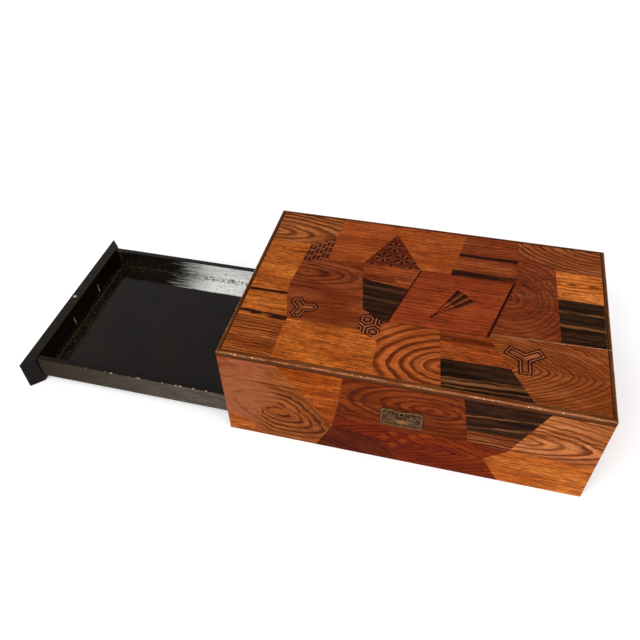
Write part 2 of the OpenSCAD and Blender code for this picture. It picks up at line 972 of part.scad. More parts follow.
// Section of the edge moulding: x inwards from the outer face, y up from its foot
module moulding_section() {
    lower = 0.35;
    groove_x = 2 * bead_r - mould_proud + 0.1;
    difference() {
        union() {
            translate([0, 0])
                square([mould_w, mould_h - bead_r - lower]);
            translate([bead_r - mould_proud, mould_h - bead_r - lower])
                circle(bead_r);
            translate([bead_r - mould_proud, mould_h - 2 * bead_r - lower])
                square([mould_w - bead_r + mould_proud, 2 * bead_r + lower / 2]);
        }
        translate([groove_x - 0.5, mould_h])
            circle(0.75);
    }
}

// A length of moulding along the front, mitred at both ends
module moulding(half_len, half_deep) {
    intersection() {
        translate([-half_len - mould_proud, -half_deep, side_h])
            rotate([90, 0, 90])
                linear_extrude(2 * (half_len + mould_proud))
                    moulding_section();
        translate([0, 0, side_h - 1])
            linear_extrude(2 * mould_h)
                polygon([
                    [-half_len - mould_proud, -half_deep - mould_proud],
                    [half_len + mould_proud, -half_deep - mould_proud],
                    [half_len - mould_w, -half_deep + mould_w],
                    [-half_len + mould_w, -half_deep + mould_w]
                ]);
        translate([0, 0, side_h - 1])
            linear_extrude(2 * mould_h)
                rounded(2 * (half_len + mould_proud), 2 * (half_deep + mould_proud), corner_r);
    }
}

module front_moulding() {
    color(moulding_brown) moulding(half_w, half_d);
}

module back_moulding() {
    color(moulding_brown)
        mirror([0, 1, 0]) moulding(half_w, half_d);
}

module left_moulding() {
    color(moulding_brown)
        rotate([0, 0, -90]) moulding(half_d, half_w);
}

module right_moulding() {
    color(moulding_brown)
        rotate([0, 0, 90]) moulding(half_d, half_w);
}

// Top marquetry

top_ratio = [2 * top_x / top_design[0], 2 * top_y / top_design[1]];

// Pieces of the top that are cut from the named woods
function pieces_of(woods) = [for (piece = top_layout) for (wood = woods) if (piece[0] == wood) piece];

// Outline of three arms at 120 degrees, with flat or pointed ends
function tri_outline(length, half, point) = [
    for (turn = [0, 120, 240])
        for (p = [
            [length, -half],
            if (point > 0) [length + point, 0],
            [length, half],
            [half / tan(60), half]
        ])
            [p[0] * cos(turn) - p[1] * sin(turn), p[0] * sin(turn) + p[1] * cos(turn)]
];

module tri_figure(figure, gap, t) {
    ratio = min(top_ratio);
    translate([figure[0][0] * top_ratio[0], figure[0][1] * top_ratio[1], 0])
        rotate([0, 0, figure[1]])
            linear_extrude(t)
                polygon(inset(
                    tri_outline(figure[2] * ratio, tri_half * ratio, figure[3] * ratio), gap
                ));
}

function polar(r, a) = fan_pivot + r * [cos(a), sin(a)];

// A tapered piece of the fan between two radii, with its half angle at each
function fan_piece(r0, r1, a, w0, w1) = [
    polar(r0, a - w0), polar(r1, a - w1), polar(r1, a + w1), polar(r0, a + w0)
];

// Blades of the leaf side by side, a thin rib behind every second one, and the pivot
module fan_pieces(gap, t) {
    for (i = [0 : fan_blades - 1]) {
        a = fan_angles[0] + (i + 0.5) * fan_step;
        linear_extrude(t)
            polygon(inset(
                fitted(fan_piece(fan_r[1], fan_r[2], a, fan_step / 2, fan_step / 2), top_ratio), gap
            ));
        if (i % 2 == 1)
            linear_extrude(t)
                polygon(inset(fitted(fan_piece(fan_r[0], fan_r[1], a, 2.4, 1.2), top_ratio), gap));
    }
    translate([fan_pivot[0] * top_ratio[0], fan_pivot[1] * top_ratio[1], 0])
        cylinder(r = fan_pivot_r - gap, h = t);
}

module stringing() {
    linear_extrude(skin_t)
        difference() {
            polygon(inset(fitted(rhombus_outer, top_ratio), glue_line / 2));
            polygon(inset(fitted(rhombus_inner, top_ratio), -glue_line / 2));
        }
}

module top_tiles_of(woods) {
    translate([0, 0, body_h - skin_t])
        difference() {
            tiles(pieces_of(woods), top_ratio, skin_t);
            for (figure = tri_figures)
                translate([0, 0, -1])
                    tri_figure(figure, 0, skin_t + 2);
            translate([0, 0, -1])
                fan_pieces(0, skin_t + 2);
        }
}

module top_light_tiles() {
    top_tiles_of(["light"]);
}

module top_brown_tiles() {
    top_tiles_of(["brown", "dark", "red"]);
}

module top_ebony_tiles() {
    top_tiles_of(["ebony"]);
}

module top_inlays() {
    color(wood_colour("inlay"))
        translate([0, 0, body_h - skin_t]) {
            tiles(pieces_of(["inlay"]), top_ratio, skin_t);
            for (figure = tri_figures)
                tri_figure(figure, glue_line / 2, skin_t);
            fan_pieces(glue_line / 2, skin_t);
            stringing();
        }
}

// Lock: a sheet metal body let into the front wall, with a sliding bolt that enters two staples

plate_pin_r = 0.7;
plate_pin_l = wall_t - lock_d - 1;
plate_corner = 4;

module staple_places() {
    for (side = [-1, 1])
        translate([side * staple_pitch / 2, lock_y, 0])
            children();
}

module plate_pin_places() {
    reach_x = plate_w / 2 - 2.6;
    reach_z = plate_h / 2 - 2.6;
    for (x = [-reach_x, reach_x])
        for (z = [-reach_z, reach_z])
            translate([x, -half_d, plate_z + plate_h / 2 + z])
                children();
}

module lock_body() {
    rib = 1.2;
    below_bolt = bolt_z - 0.3;
    color(brass)
        difference() {
            block([-lock_w / 2, -in_y - lock_d, lock_z], [lock_w / 2, -in_y, lock_top]);
            difference() {
                block(
                    [-lock_w / 2 + lock_sheet, -in_y - lock_d + lock_sheet, lock_z + lock_sheet],
                    [lock_w / 2 - lock_sheet, -in_y - lock_sheet, lock_top - lock_sheet]
                );
                block([-lock_w / 2, -in_y - lock_d, below_bolt - rib], [-lock_w / 4, -in_y, below_bolt]);
                block([lock_w / 8, -in_y - lock_d, below_bolt - rib], [lock_w / 2, -in_y, below_bolt]);
            }
            staple_places()
                block(
                    [-staple_t / 2 - staple_clear, -staple_w / 2 - staple_clear, lock_top - 3],
                    [staple_t / 2 + staple_clear, staple_w / 2 + staple_clear, lock_top + 1]
                );
            keyhole();
        }
}

// The bolt: a bar with two posts, each with a finger that slides into a staple
module lock_bolt() {
    bar_w = lock_d - 2 * lock_sheet - 1;
    post_l = 2.4;
    finger_back = staple_t / 2 + 1;
    color(brass)
        translate([0, lock_y, 0]) {
            block([-lock_w / 2 + 3, -bar_w / 2, bolt_z], [lock_w / 2 - bolt_room, bar_w / 2, bolt_z + bolt_bar_h]);
            for (side = [-1, 1])
                translate([side * staple_pitch / 2 - finger_back, 0, 0]) {
                    block(
                        [-bolt_throw - post_l, -1.5, bolt_z + bolt_bar_h / 2],
                        [-bolt_throw, 1.5, finger_z + 1.5]
                    );
                    translate([-bolt_throw / 2, 0, finger_z])
                        along_x(finger_r, bolt_throw);
                }
        }
}

// Plate let into the underside of the lid's front skirt
module hook_plate_shape() {
    lid_half()
        below_slope(seam_gap / 2 + hook_t)
            block([-lock_w / 2, lock_y - 3, lock_top], [lock_w / 2, lock_y + 3, body_h]);
}

// The plate with its two staples, which drop into the lock
module hook_plate() {
    color(brass) {
        hook_plate_shape();
        difference() {
            staple_places()
                block(
                    [-staple_t / 2, -staple_w / 2, staple_rim - staple_l],
                    [staple_t / 2, staple_w / 2, staple_rim + hook_t / 2]
                );
            translate([0, lock_y, finger_z])
                along_x(staple_hole_r, 2 * lock_w);
        }
    }
}

// Lock plate with rounded corners and a scalloped top edge
module lock_plate() {
    c = plate_corner;
    color(brass)
        difference() {
            translate([0, -half_d, plate_z])
                rotate([90, 0, 0])
                    linear_extrude(plate_t)
                        difference() {
                            union() {
                                translate([-plate_w / 2 + c, 0])
                                    square([plate_w - 2 * c, plate_h - 1]);
                                translate([-plate_w / 2, c])
                                    square([plate_w, plate_h - 2 * c]);
                                for (x = [-plate_w / 2 + c, plate_w / 2 - c])
                                    for (y = [c, plate_h - c])
                                        translate([x, y])
                                            circle(c);
                                for (x = [-plate_w / 4.4, plate_w / 4.4])
                                    translate([x, plate_h - 5])
                                        circle(5);
                            }
                            translate([0, plate_h + 1.6])
                                circle(3);
                        }
            keyhole();
            plate_pin_places() along_y(plate_pin_r, 2 * plate_pin_l);
        }
}

module lock_plate_pins() {
    color(brass)
        plate_pin_places()
            translate([0, -plate_t, 0])
                rotate([90, 0, 0]) {
                    translate([0, 0, -plate_t - plate_pin_l])
                        cylinder(r = plate_pin_r, h = plate_t + plate_pin_l + eps);
                    cylinder(r = plate_pin_r + 0.4, h = 0.4);
                }
}

// Pin that drops through the left wall into the bush in the drawer front
module drawer_pin() {
    low = mouth_top + 0.2;
    color(brass)
        translate([lock_pin_x, lock_pin_y, 0]) {
            translate([0, 0, low])
                cylinder(r = lock_pin_r, h = pin_head_z - low + eps);
            translate([0, 0, pin_head_z])
                cylinder(r = lock_pin_head_r, h = lock_pin_head_h);
        }
}

// Drawer, drawn shut and then moved out

module pulled_out() {
    translate([-drawer_out, 0, 0])
        children();
}

// Plan of the drawer front between two depths from its outer face
module front_plan(x0, x1) {
    y0 = half_d - mitre_gap - x0;
    y1 = half_d - mitre_gap - x1;
    translate([-half_w, 0, drawer_lift])
        linear_extrude(drawer_top - drawer_lift)
            polygon([[x0, -y0], [x1, -y1], [x1, y1], [x0, y0]]);
}

module post_places() {
    for (side = [-1, 1])
        translate([-half_w, handle_y + side * handle_pitch / 2, handle_z])
            children();
}

module drawer_front() {
    color(lacquer)
        pulled_out()
            difference() {
                front_plan(skin_t, wall_t);
                translate([lock_pin_x, lock_pin_y, drawer_top - bush_depth])
                    cylinder(r = bush_r, h = bush_depth + 1);
                post_places()
                    along_x(tail_w + pin_clear, 4 * wall_t);
            }
}

module drawer_front_skin() {
    pulled_out()
        difference() {
            intersection() {
                on_left() side_tiles();
                front_plan(0, skin_t);
            }
            post_places()
                along_x(tail_w + pin_clear, 4 * wall_t);
        }
}

module tray_side() {
    block([-in_x, tray_y - tray_t, tray_z], [tray_end, tray_y, tray_top]);
}

module drawer_near_side() {
    color(lacquer)
        pulled_out()
            mirror([0, 1, 0]) tray_side();
}

module drawer_far_side() {
    color(lacquer)
        pulled_out()
            tray_side();
}

module drawer_back() {
    inner = tray_y - tray_t;
    color(lacquer)
        pulled_out()
            block([tray_end - tray_t, -inner, tray_floor], [tray_end, inner, tray_top]);
}

// Bottom board with a low fillet strip along the drawer front
module drawer_bottom() {
    inner = tray_y - tray_t;
    color(lacquer)
        pulled_out() {
            block([-in_x, -inner, tray_z], [tray_end, inner, tray_floor]);
            block([-in_x, -inner, tray_z], [-in_x + fillet_w, inner, tray_floor + fillet_h]);
        }
}

module drawer_bush() {
    color(brass)
        pulled_out()
            translate([lock_pin_x, lock_pin_y, drawer_top - bush_depth])
                difference() {
                    cylinder(r = bush_r, h = bush_depth);
                    translate([0, 0, 0.8])
                        cylinder(r = lock_pin_r + pin_clear, h = bush_depth);
                }
}

// Posts of the handle: rose, eye, shank through the front and a clinched tail inside
module handle_posts() {
    color(brass)
        pulled_out()
            difference() {
                union() {
                    post_places() {
                        translate([-post_t, 0, 0])
                            rotate([0, 90, 0])
                                cylinder(r = post_r, h = post_t);
                        translate([-bail_out, 0, 0])
                            along_y(eye_r, eye_w);
                        translate([-bail_out, -eye_w / 2, -tail_w])
                            cube([bail_out, eye_w, 2 * tail_w]);
                        translate([-eps, 0, 0])
                            rotate([0, 90, 0])
                                cylinder(r = tail_w, h = wall_t + eps);
                        block([wall_t, -tail_w / 2, -tail_h / 2], [wall_t + tail_t, tail_w / 2, tail_h / 2]);
                    }
                }
                post_places()
                    translate([-bail_out, 0, 0])
                        along_y(bail_r + pin_clear, 3 * eye_w);
            }
}

// A quarter of the handle's rod, bent round to the right or left
module bail_corner() {
    rotate_extrude(angle = 90)
        translate([bail_bend, 0])
            circle(bail_r);
}

module bail_handle() {
    half = handle_pitch / 2 + eye_w / 2 + bail_r + 1;
    low = -bail_drop + bail_r;
    color(brass)
        pulled_out()
            translate([-half_w - bail_out, handle_y, handle_z])
                for (side = [0, 1])
                    mirror([0, side, 0]) {
                        translate([0, (half + handle_pitch / 2 - eye_w / 2 - 1) / 2, 0])
                            along_y(bail_r, half - handle_pitch / 2 + eye_w / 2 + 1);
                        translate([0, half, 0])
                            sphere(bail_r);
                        translate([0, half, low + bail_bend])
                            cylinder(r = bail_r, h = -low - bail_bend);
                        translate([0, half - bail_bend, low + bail_bend])
                            rotate([0, 90, 0])
                                bail_corner();
                        translate([0, (half - bail_bend) / 2, low])
                            along_y(bail_r, half - bail_bend);
                    }
}

bottom_board();
case_front_wall();
case_back_wall();
case_left_wall();
case_right_wall();
dust_board();
drawer_guides();
pen_rail();
pen_dividers();
pen_tray_ledges();
pen_tray();
case_flap_ledges();
case_hinge_rail();
case_front_skin();
case_back_skin();
case_side_skins();
lock_body();
lock_plate();
lock_plate_pins();
case_hinge_leaves();
hinge_pins();
case_hinge_screws();
case_flap_fixed_leaves();
lid_board();
lid_front_skirt();
lid_back_skirt();
lid_left_skirt();
lid_right_skirt();
front_moulding();
back_moulding();
left_moulding();
right_moulding();
top_light_tiles();
top_brown_tiles();
top_ebony_tiles();
top_inlays();
lid_front_skin();
lid_back_skin();
lid_side_skins();
hook_plate();
lid_hinge_leaves();
lid_hinge_screws();
lid_flap_ledges();
lid_hinge_rail();
lid_flap_fixed_leaves();
case_flap();
case_flap_moving_leaves();
lid_flap();
lid_flap_moving_leaves();
lock_bolt();
drawer_pin();
drawer_front();
drawer_front_skin();
drawer_near_side();
drawer_far_side();
drawer_back();
drawer_bottom();
drawer_bush();
handle_posts();
bail_handle();
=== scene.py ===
import math

import bmesh
import bpy
from mathutils import Matrix, Vector

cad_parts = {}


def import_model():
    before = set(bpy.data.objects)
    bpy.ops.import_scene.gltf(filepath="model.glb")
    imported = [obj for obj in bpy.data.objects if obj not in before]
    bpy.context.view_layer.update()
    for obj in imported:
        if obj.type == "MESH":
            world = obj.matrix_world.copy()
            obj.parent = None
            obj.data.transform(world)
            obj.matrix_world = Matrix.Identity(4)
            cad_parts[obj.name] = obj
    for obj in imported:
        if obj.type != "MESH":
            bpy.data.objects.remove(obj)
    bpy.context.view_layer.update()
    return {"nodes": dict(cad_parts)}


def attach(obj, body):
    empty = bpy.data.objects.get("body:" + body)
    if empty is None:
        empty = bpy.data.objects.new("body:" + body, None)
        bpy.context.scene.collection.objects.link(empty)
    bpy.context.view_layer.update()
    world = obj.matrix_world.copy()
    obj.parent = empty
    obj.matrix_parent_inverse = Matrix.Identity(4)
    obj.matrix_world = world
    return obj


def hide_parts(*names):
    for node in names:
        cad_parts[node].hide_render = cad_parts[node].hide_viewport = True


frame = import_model()
nodes = frame["nodes"]
MM = 0.001

# Places on the CAD model that the looks follow, in mm
TOP_Z = 144.0  # the marquetry's upper face
TILE_FOOT_Z = 142.55  # just over the board under the marquetry
BEAD_Z = 140.65  # the middle of the mouldings' bead
PLATE_FACE_Y = -134.5  # the lock plate's outer face
SIDE_OUT_Y = 116.0  # just inside the outer faces of the drawer's sides
RIM_Z = (42.3, 42.6)  # the top edge of the drawer's front
FILLET_X = -473.6  # the edge of the fillet at the drawer's front
WALL_FOOT = (109.6, 14.2)  # y and z of the seam under the drawer's far wall
FLAP_HALF_X = 195.3  # half a writing flap's width
OPEN_JOINT_Y = -37.2  # where the open joint crosses the right moulding

DUST = (206, 162, 132)  # the colour of the dust in that joint


# Colours and shader nodes

def linear(rgb):
    """A display colour of 0..255 values, as the linear colour that a shader takes."""
    def one(c):
        c /= 255
        return c / 12.92 if c <= 0.04045 else ((c + 0.055) / 1.055) ** 2.4
    return tuple(one(c) for c in rgb) + (1,)


class Net:
    """Short calls for wiring one node tree.

    Each call takes sockets or plain values, and three numbers are a display colour.
    """

    def __init__(self, tree):
        self.tree = tree

    def put(self, socket, value):
        if isinstance(value, bpy.types.NodeSocket):
            self.tree.links.new(value, socket)
        else:
            display = isinstance(value, tuple) and len(value) == 3
            socket.default_value = linear(value) if display else value

    def add(self, kind, sockets=None, **settings):
        node = self.tree.nodes.new("ShaderNode" + kind)
        for name, value in settings.items():
            setattr(node, name, value)
        for name, value in (sockets or {}).items():
            self.put(node.inputs[name], value)
        return node

    def math(self, operation, *values, clamp=False):
        node = self.add("Math", operation=operation, use_clamp=clamp)
        for socket, value in zip(node.inputs, values):
            self.put(socket, value)
        return node.outputs[0]

    def times(self, first, *others, clamp=False):
        """The product of two or more values."""
        for value in others:
            first = self.math("MULTIPLY", first, value, clamp=clamp)
        return first

    def plus(self, a, b, clamp=False):
        return self.math("ADD", a, b, clamp=clamp)

    def minus(self, a, b):
        return self.math("SUBTRACT", a, b)

    def scaled(self, value, gain, shift):
        """value * gain + shift."""
        return self.math("MULTIPLY_ADD", value, gain, shift)

    def size(self, value):
        """The value without its sign."""
        return self.math("ABSOLUTE", value)

    def vec(self, x, y, z=0.0):
        return self.add("CombineXYZ", {"X": x, "Y": y, "Z": z}).outputs[0]

    def noise(self, vector, scale=1.0, detail=2.0, rough=0.5):
        return self.add("TexNoise", {"Vector": vector, "Scale": scale, "Detail": detail,
                                     "Roughness": rough}).outputs[0]

    def streaks(self, u, v, along, across, seed=0.0, detail=2.0, rough=0.5):
        """Noise in a plane, with its own frequency per mm along u and across it."""
        return self.noise(self.vec(self.times(u, along), self.times(v, across), seed),
                          detail=detail, rough=rough)

    def stretched(self, axes, per_mm, detail, rough):
        """Noise in space, with its own frequency per mm along each axis."""
        return self.noise(self.vec(*(self.times(a, f) for a, f in zip(axes, per_mm))),
                          detail=detail, rough=rough)

    def step(self, value, start, end, low=0.0, high=1.0):
        """Goes smoothly from low to high while the value goes from start to end."""
        node = self.add("MapRange", interpolation_type="SMOOTHSTEP")
        for name, v in (("Value", value), ("From Min", start), ("From Max", end),
                        ("To Min", low), ("To Max", high)):
            self.put(node.inputs[name], v)
        return node.outputs[0]

    def mix(self, factor, a, b, blend="MIX"):
        node = self.add("Mix", data_type="RGBA", blend_type=blend)
        for index, value in ((0, factor), (6, a), (7, b)):
            self.put(node.inputs[index], value)
        return node.outputs[2]

    def coordinates(self):
        """The object's own coordinates in mm, as three sockets."""
        big = self.add("VectorMath", {0: self.add("TexCoord").outputs["Object"], "Scale": 1000},
                       operation="SCALE")
        return self.add("SeparateXYZ", {0: big.outputs[0]}).outputs

    def seen(self):
        """1 for the camera, a reflection or a refraction, and 0 for light that falls on things."""
        rays = self.add("LightPath").outputs
        mirrored = self.plus(rays["Is Glossy Ray"], rays["Is Transmission Ray"])
        return self.plus(rays["Is Camera Ray"], mirrored, clamp=True)

    @property
    def surface(self):
        """The inputs of the tree's Principled shader."""
        return next(n for n in self.tree.nodes if n.type == "BSDF_PRINCIPLED").inputs

    def coat(self, colour, roughness=None):
        """Gives the shader a colour that varies, and a roughness too."""
        self.put(self.surface["Base Color"], colour)
        if roughness is not None:
            self.put(self.surface["Roughness"], roughness)

    def relief(self, height, depth):
        """Bump from a height of 0..1 that stands for this depth in mm."""
        bump = self.add("Bump", {"Height": height, "Distance": depth * MM, "Strength": 1.0})
        self.put(self.surface["Normal"], bump.outputs[0])


def shader(name, roughness, specular, metallic=0.0):
    """A new material with a Principled shader, and its net."""
    material = bpy.data.materials.new(name)
    material.use_nodes = True
    material.node_tree.nodes.clear()
    net = Net(material.node_tree)
    principled = net.add("BsdfPrincipled", {
        "Roughness": roughness, "Specular IOR Level": specular, "Metallic": metallic})
    net.add("OutputMaterial", {"Surface": principled.outputs[0]})
    return material, net


# Figured wood: rings round a heart, stretched along the grain, with fibres, pores and streaks

WOOD_INPUTS = (
    ("U", 0), ("V", 0), ("Seed", 0), ("Heart U", 0), ("Heart V", 0), ("Turn", 0),
    ("Aspect", 20), ("Power", 2), ("Spacing", 4), ("Wave", 2), ("Band", 0.6),
    ("Contrast", 0.5), ("Fine", 0.3), ("Fibre", 0.35), ("Pores", 0.3), ("Lines", 0.3),
    ("Mottle", 0.2), ("Reach", 10000),
)
# A streak's place across the grain at U 0, its slope, half width and strength
STREAK_INPUTS = ("V", "Slope", "Half", "Strength")
STREAKS = 3
WOOD_COLOURS = ("Base", "Glow", "Dark", "Streak")


def wood_group():
    tree = bpy.data.node_groups.new("figured_wood", "ShaderNodeTree")

    def socket(name, kind, default, way="INPUT"):
        made = tree.interface.new_socket(name, in_out=way, socket_type="NodeSocket" + kind)
        if default is not None:
            made.default_value = default

    for name, default in WOOD_INPUTS:
        socket(name, "Float", default)
    for i in range(STREAKS):
        for name in STREAK_INPUTS:
            socket(f"{name}{i}", "Float", 1 if name == "Half" else 0)
    for name in WOOD_COLOURS:
        socket(name, "Color", (0.2, 0.1, 0.05, 1))
    socket("Colour", "Color", None, "OUTPUT")
    socket("Height", "Float", None, "OUTPUT")
    net = Net(tree)
    given = tree.nodes.new("NodeGroupInput").outputs
    u, v, seed = given["U"], given["V"], given["Seed"]

    def other(shift):
        return net.plus(seed, shift)

    def signed(noise, gain):
        """A noise round 0.5 as a value round 0 that mostly stays within -1..1."""
        return net.times(net.minus(noise, 0.5), gain)

    # Grain coordinates round the heart
    from_heart = net.vec(net.minus(u, given["Heart U"]), net.minus(v, given["Heart V"]))
    turned = net.add("VectorRotate", {"Vector": from_heart, "Angle": given["Turn"]},
                     rotation_type="Z_AXIS")
    g = net.add("SeparateXYZ", {0: turned.outputs[0]}).outputs
    sway = net.plus(signed(net.streaks(g[0], g[1], 0.011, 0.03, seed), 2.0),
                    signed(net.streaks(g[0], g[1], 0.08, 0.1, other(7.0)), 1.7))
    sway = net.times(sway, given["Wave"])
    gv = net.plus(sway, g[1])
    gu = net.scaled(sway, 1.6, g[0])
    far = net.math("POWER", net.math("DIVIDE", net.size(gu), given["Aspect"]), given["Power"])
    near = net.math("POWER", net.size(gv), given["Power"])
    radius = net.math("POWER", net.plus(far, near), net.math("DIVIDE", 1.0, given["Power"]))
    ring = net.math("DIVIDE", radius, given["Spacing"])
    ring = net.scaled(net.noise(net.vec(ring, seed), 0.45, 1), 1.6, ring)
    age = net.math("FRACT", ring)
    year = net.add("TexWhiteNoise", {"Vector": net.vec(net.math("FLOOR", ring), seed)},
                   noise_dimensions="2D").outputs["Value"]

    # Each ring darkens slowly and ends at once, and its darkness varies along it
    start = net.minus(1.0, given["Band"])
    full = net.minus(1.0, net.times(given["Band"], 0.45))
    band = net.times(net.step(age, start, full), net.step(age, 1.0, 0.93),
                     net.scaled(year, 0.3, 0.7))
    patch = net.step(net.streaks(g[0], g[1], 0.02, 0.05, other(3.0)), 0.3, 0.5, 0.75, 1.0)
    reach = net.step(radius, given["Reach"], net.times(given["Reach"], 0.6))
    band = net.times(band, patch, reach)

    # Finer lines that follow the rings, fibres along the grain, long thin lines, open pores
    fine = net.streaks(radius, g[0], 0.9, 0.012, seed, 3, 0.65)
    fibre = net.streaks(g[0], gv, 0.045, 0.6, seed, 4, 0.75)
    line = net.step(net.streaks(g[0], gv, 0.016, 0.42, other(13.0)), 0.57, 0.68)
    pore = net.step(net.streaks(g[0], gv, 0.18, 1.2, other(11.0), 1), 0.56, 0.66)
    speck = net.streaks(g[0], g[1], 0.09, 0.22, other(17.0), 3)
    glow = net.step(net.streaks(g[0], g[1], 0.012, 0.05, other(5.0), 3), 0.38, 0.62)
    light = 1.0
    for noise, gain, strength in ((fine, 4.0, "Fine"), (fibre, 4.0, "Fibre"),
                                  (speck, 3.0, "Mottle")):
        light = net.scaled(signed(noise, gain), given[strength], light)
    light = net.math("MAXIMUM", light, 0.25)

    colour = net.mix(glow, given["Base"], given["Glow"])

    def paint(mask, strength, tint="Dark"):
        return net.mix(net.times(mask, given[strength], clamp=True), colour, given[tint])

    colour = paint(band, "Contrast")
    colour = paint(line, "Lines")
    colour = paint(pore, "Pores")
    for i in range(STREAKS):
        middle = net.scaled(given[f"Slope{i}"], u, given[f"V{i}"])
        away = net.size(net.minus(net.scaled(sway, 0.5, v), middle))
        edge = net.scaled(signed(fibre, 1.6), 0.5, 1.0)
        away = net.math("DIVIDE", away, net.times(given[f"Half{i}"], edge))
        broken = net.step(net.streaks(u, v, 0.022, 0.09, other(23.0 + i), 3), 0.34, 0.56,
                          0.25, 1.0)
        colour = paint(net.times(net.step(away, 1.15, 0.4), broken), f"Strength{i}", "Streak")
    colour = net.mix(1.0, colour, net.vec(light, light, light), "MULTIPLY")
    out = tree.nodes.new("NodeGroupOutput")
    net.put(out.inputs["Colour"], colour)
    net.put(out.inputs["Height"], net.minus(net.scaled(fibre, 0.5, 0.5), net.times(pore, 0.5)))
    return tree


WOOD = wood_group()

# The two axes in which a face's wood is drawn, along the grain and across it
PLANES = {"top": (0, 1), "front": (0, 2), "side": (1, 2), "cross": (1, 0)}

# Typical woods; a tile's row below changes what differs
KINDS = {
    "honey": dict(
        Base=(188, 102, 42), Glow=(156, 74, 26), Dark=(84, 34, 10), Streak=(48, 22, 12), Aspect=30,
        Spacing=3.2, Contrast=0.45, Fine=0.4, Fibre=0.8, Pores=0.7, Lines=0.7, Wave=1.5,
        Mottle=0.35, Heart_V=400),
    "brown": dict(
        Base=(170, 94, 48), Glow=(146, 72, 32), Dark=(74, 27, 8), Streak=(52, 24, 14), Aspect=2.4,
        Spacing=7, Contrast=1.0, Fine=0.35, Fibre=0.5, Wave=3),
    "dark": dict(
        Base=(132, 62, 32), Glow=(110, 46, 22), Dark=(58, 20, 8), Streak=(46, 18, 8), Aspect=2,
        Spacing=8, Contrast=0.8, Fine=0.4, Fibre=0.5, Pores=0.35, Lines=0.45, Wave=3),
    "red": dict(
        Base=(148, 64, 31), Glow=(122, 46, 21), Dark=(72, 24, 10), Streak=(60, 21, 10), Aspect=40,
        Spacing=5, Contrast=0.45, Fine=0.4, Fibre=0.6, Pores=0.4, Lines=0.5, Heart_V=400),
    "ebony": dict(
        Base=(28, 18, 13), Glow=(40, 25, 17), Dark=(92, 55, 32), Streak=(122, 76, 44), Aspect=60,
        Spacing=9, Contrast=0.2, Fine=0.5, Fibre=0.7, Pores=0.0, Wave=3.5, Heart_V=400,
        Mottle=0.1),
}


def under_varnish(rgb, plane):
    """The colour of a wood, less the little light that its varnish adds."""
    glare = 0.003 if plane == "top" else 0.006
    return tuple(max(c - glare, 0.001) for c in linear(rgb)[:3]) + (1,)


def wood(name, plane, kind, marks=(), thick=False, **changes):
    """A varnished wood whose figure lies in one plane of the object.

    Each mark is a spot: its place, half sizes, corner power (1 is a lozenge), strength, colour.
    On a thick board the grain lines also follow its height, so they show on every side.
    """
    material, net = shader(name, roughness=0.36, specular=0.02)
    axes = net.coordinates()
    u, v = (axes[i] for i in PLANES[plane])
    figure = net.add("Group", node_tree=WOOD)
    net.put(figure.inputs["U"], u)
    net.put(figure.inputs["V"], net.plus(v, axes[2]) if thick else v)
    for key, value in {**KINDS[kind], **changes}.items():
        if key == "Streaks":
            for i, streak in enumerate(value):
                for label, number in zip(STREAK_INPUTS, streak):
                    figure.inputs[f"{label}{i}"].default_value = number
        elif key in WOOD_COLOURS:
            figure.inputs[key].default_value = under_varnish(value, plane)
        else:
            figure.inputs[key.replace("_", " ")].default_value = value
    colour = figure.outputs["Colour"]
    grain = net.scaled(figure.outputs["Height"], 0.8, 0.42)

    def away(value, middle, half, power):
        share = net.size(net.math("DIVIDE", net.minus(value, middle), half))
        return net.math("POWER", share, power)

    for mark_u, mark_v, half_u, half_v, power, strength, tint in marks:
        far = net.plus(away(u, mark_u, half_u, power), away(v, mark_v, half_v, power))
        far = net.plus(far, net.minus(net.streaks(u, v, 0.1, 0.4, mark_u, 3), 0.5))
        tint = net.mix(1.0, under_varnish(tint, plane), net.vec(grain, grain, grain), "MULTIPLY")
        colour = net.mix(net.step(far, 1.1, 0.8, 0.0, strength), colour, tint)
    net.coat(colour)
    net.relief(figure.outputs["Height"], 0.05)
    return material


# Grime in the seam between lid and case: a streak on the faces beside it
FRONT_SEAM = (101.3, 0.0, 0.8, 0.85)
BACK_SEAM = (72.1, 0.0, 0.8, 0.85)
SIDE_SEAM = (86.74, -0.1083, 0.8, 0.85)

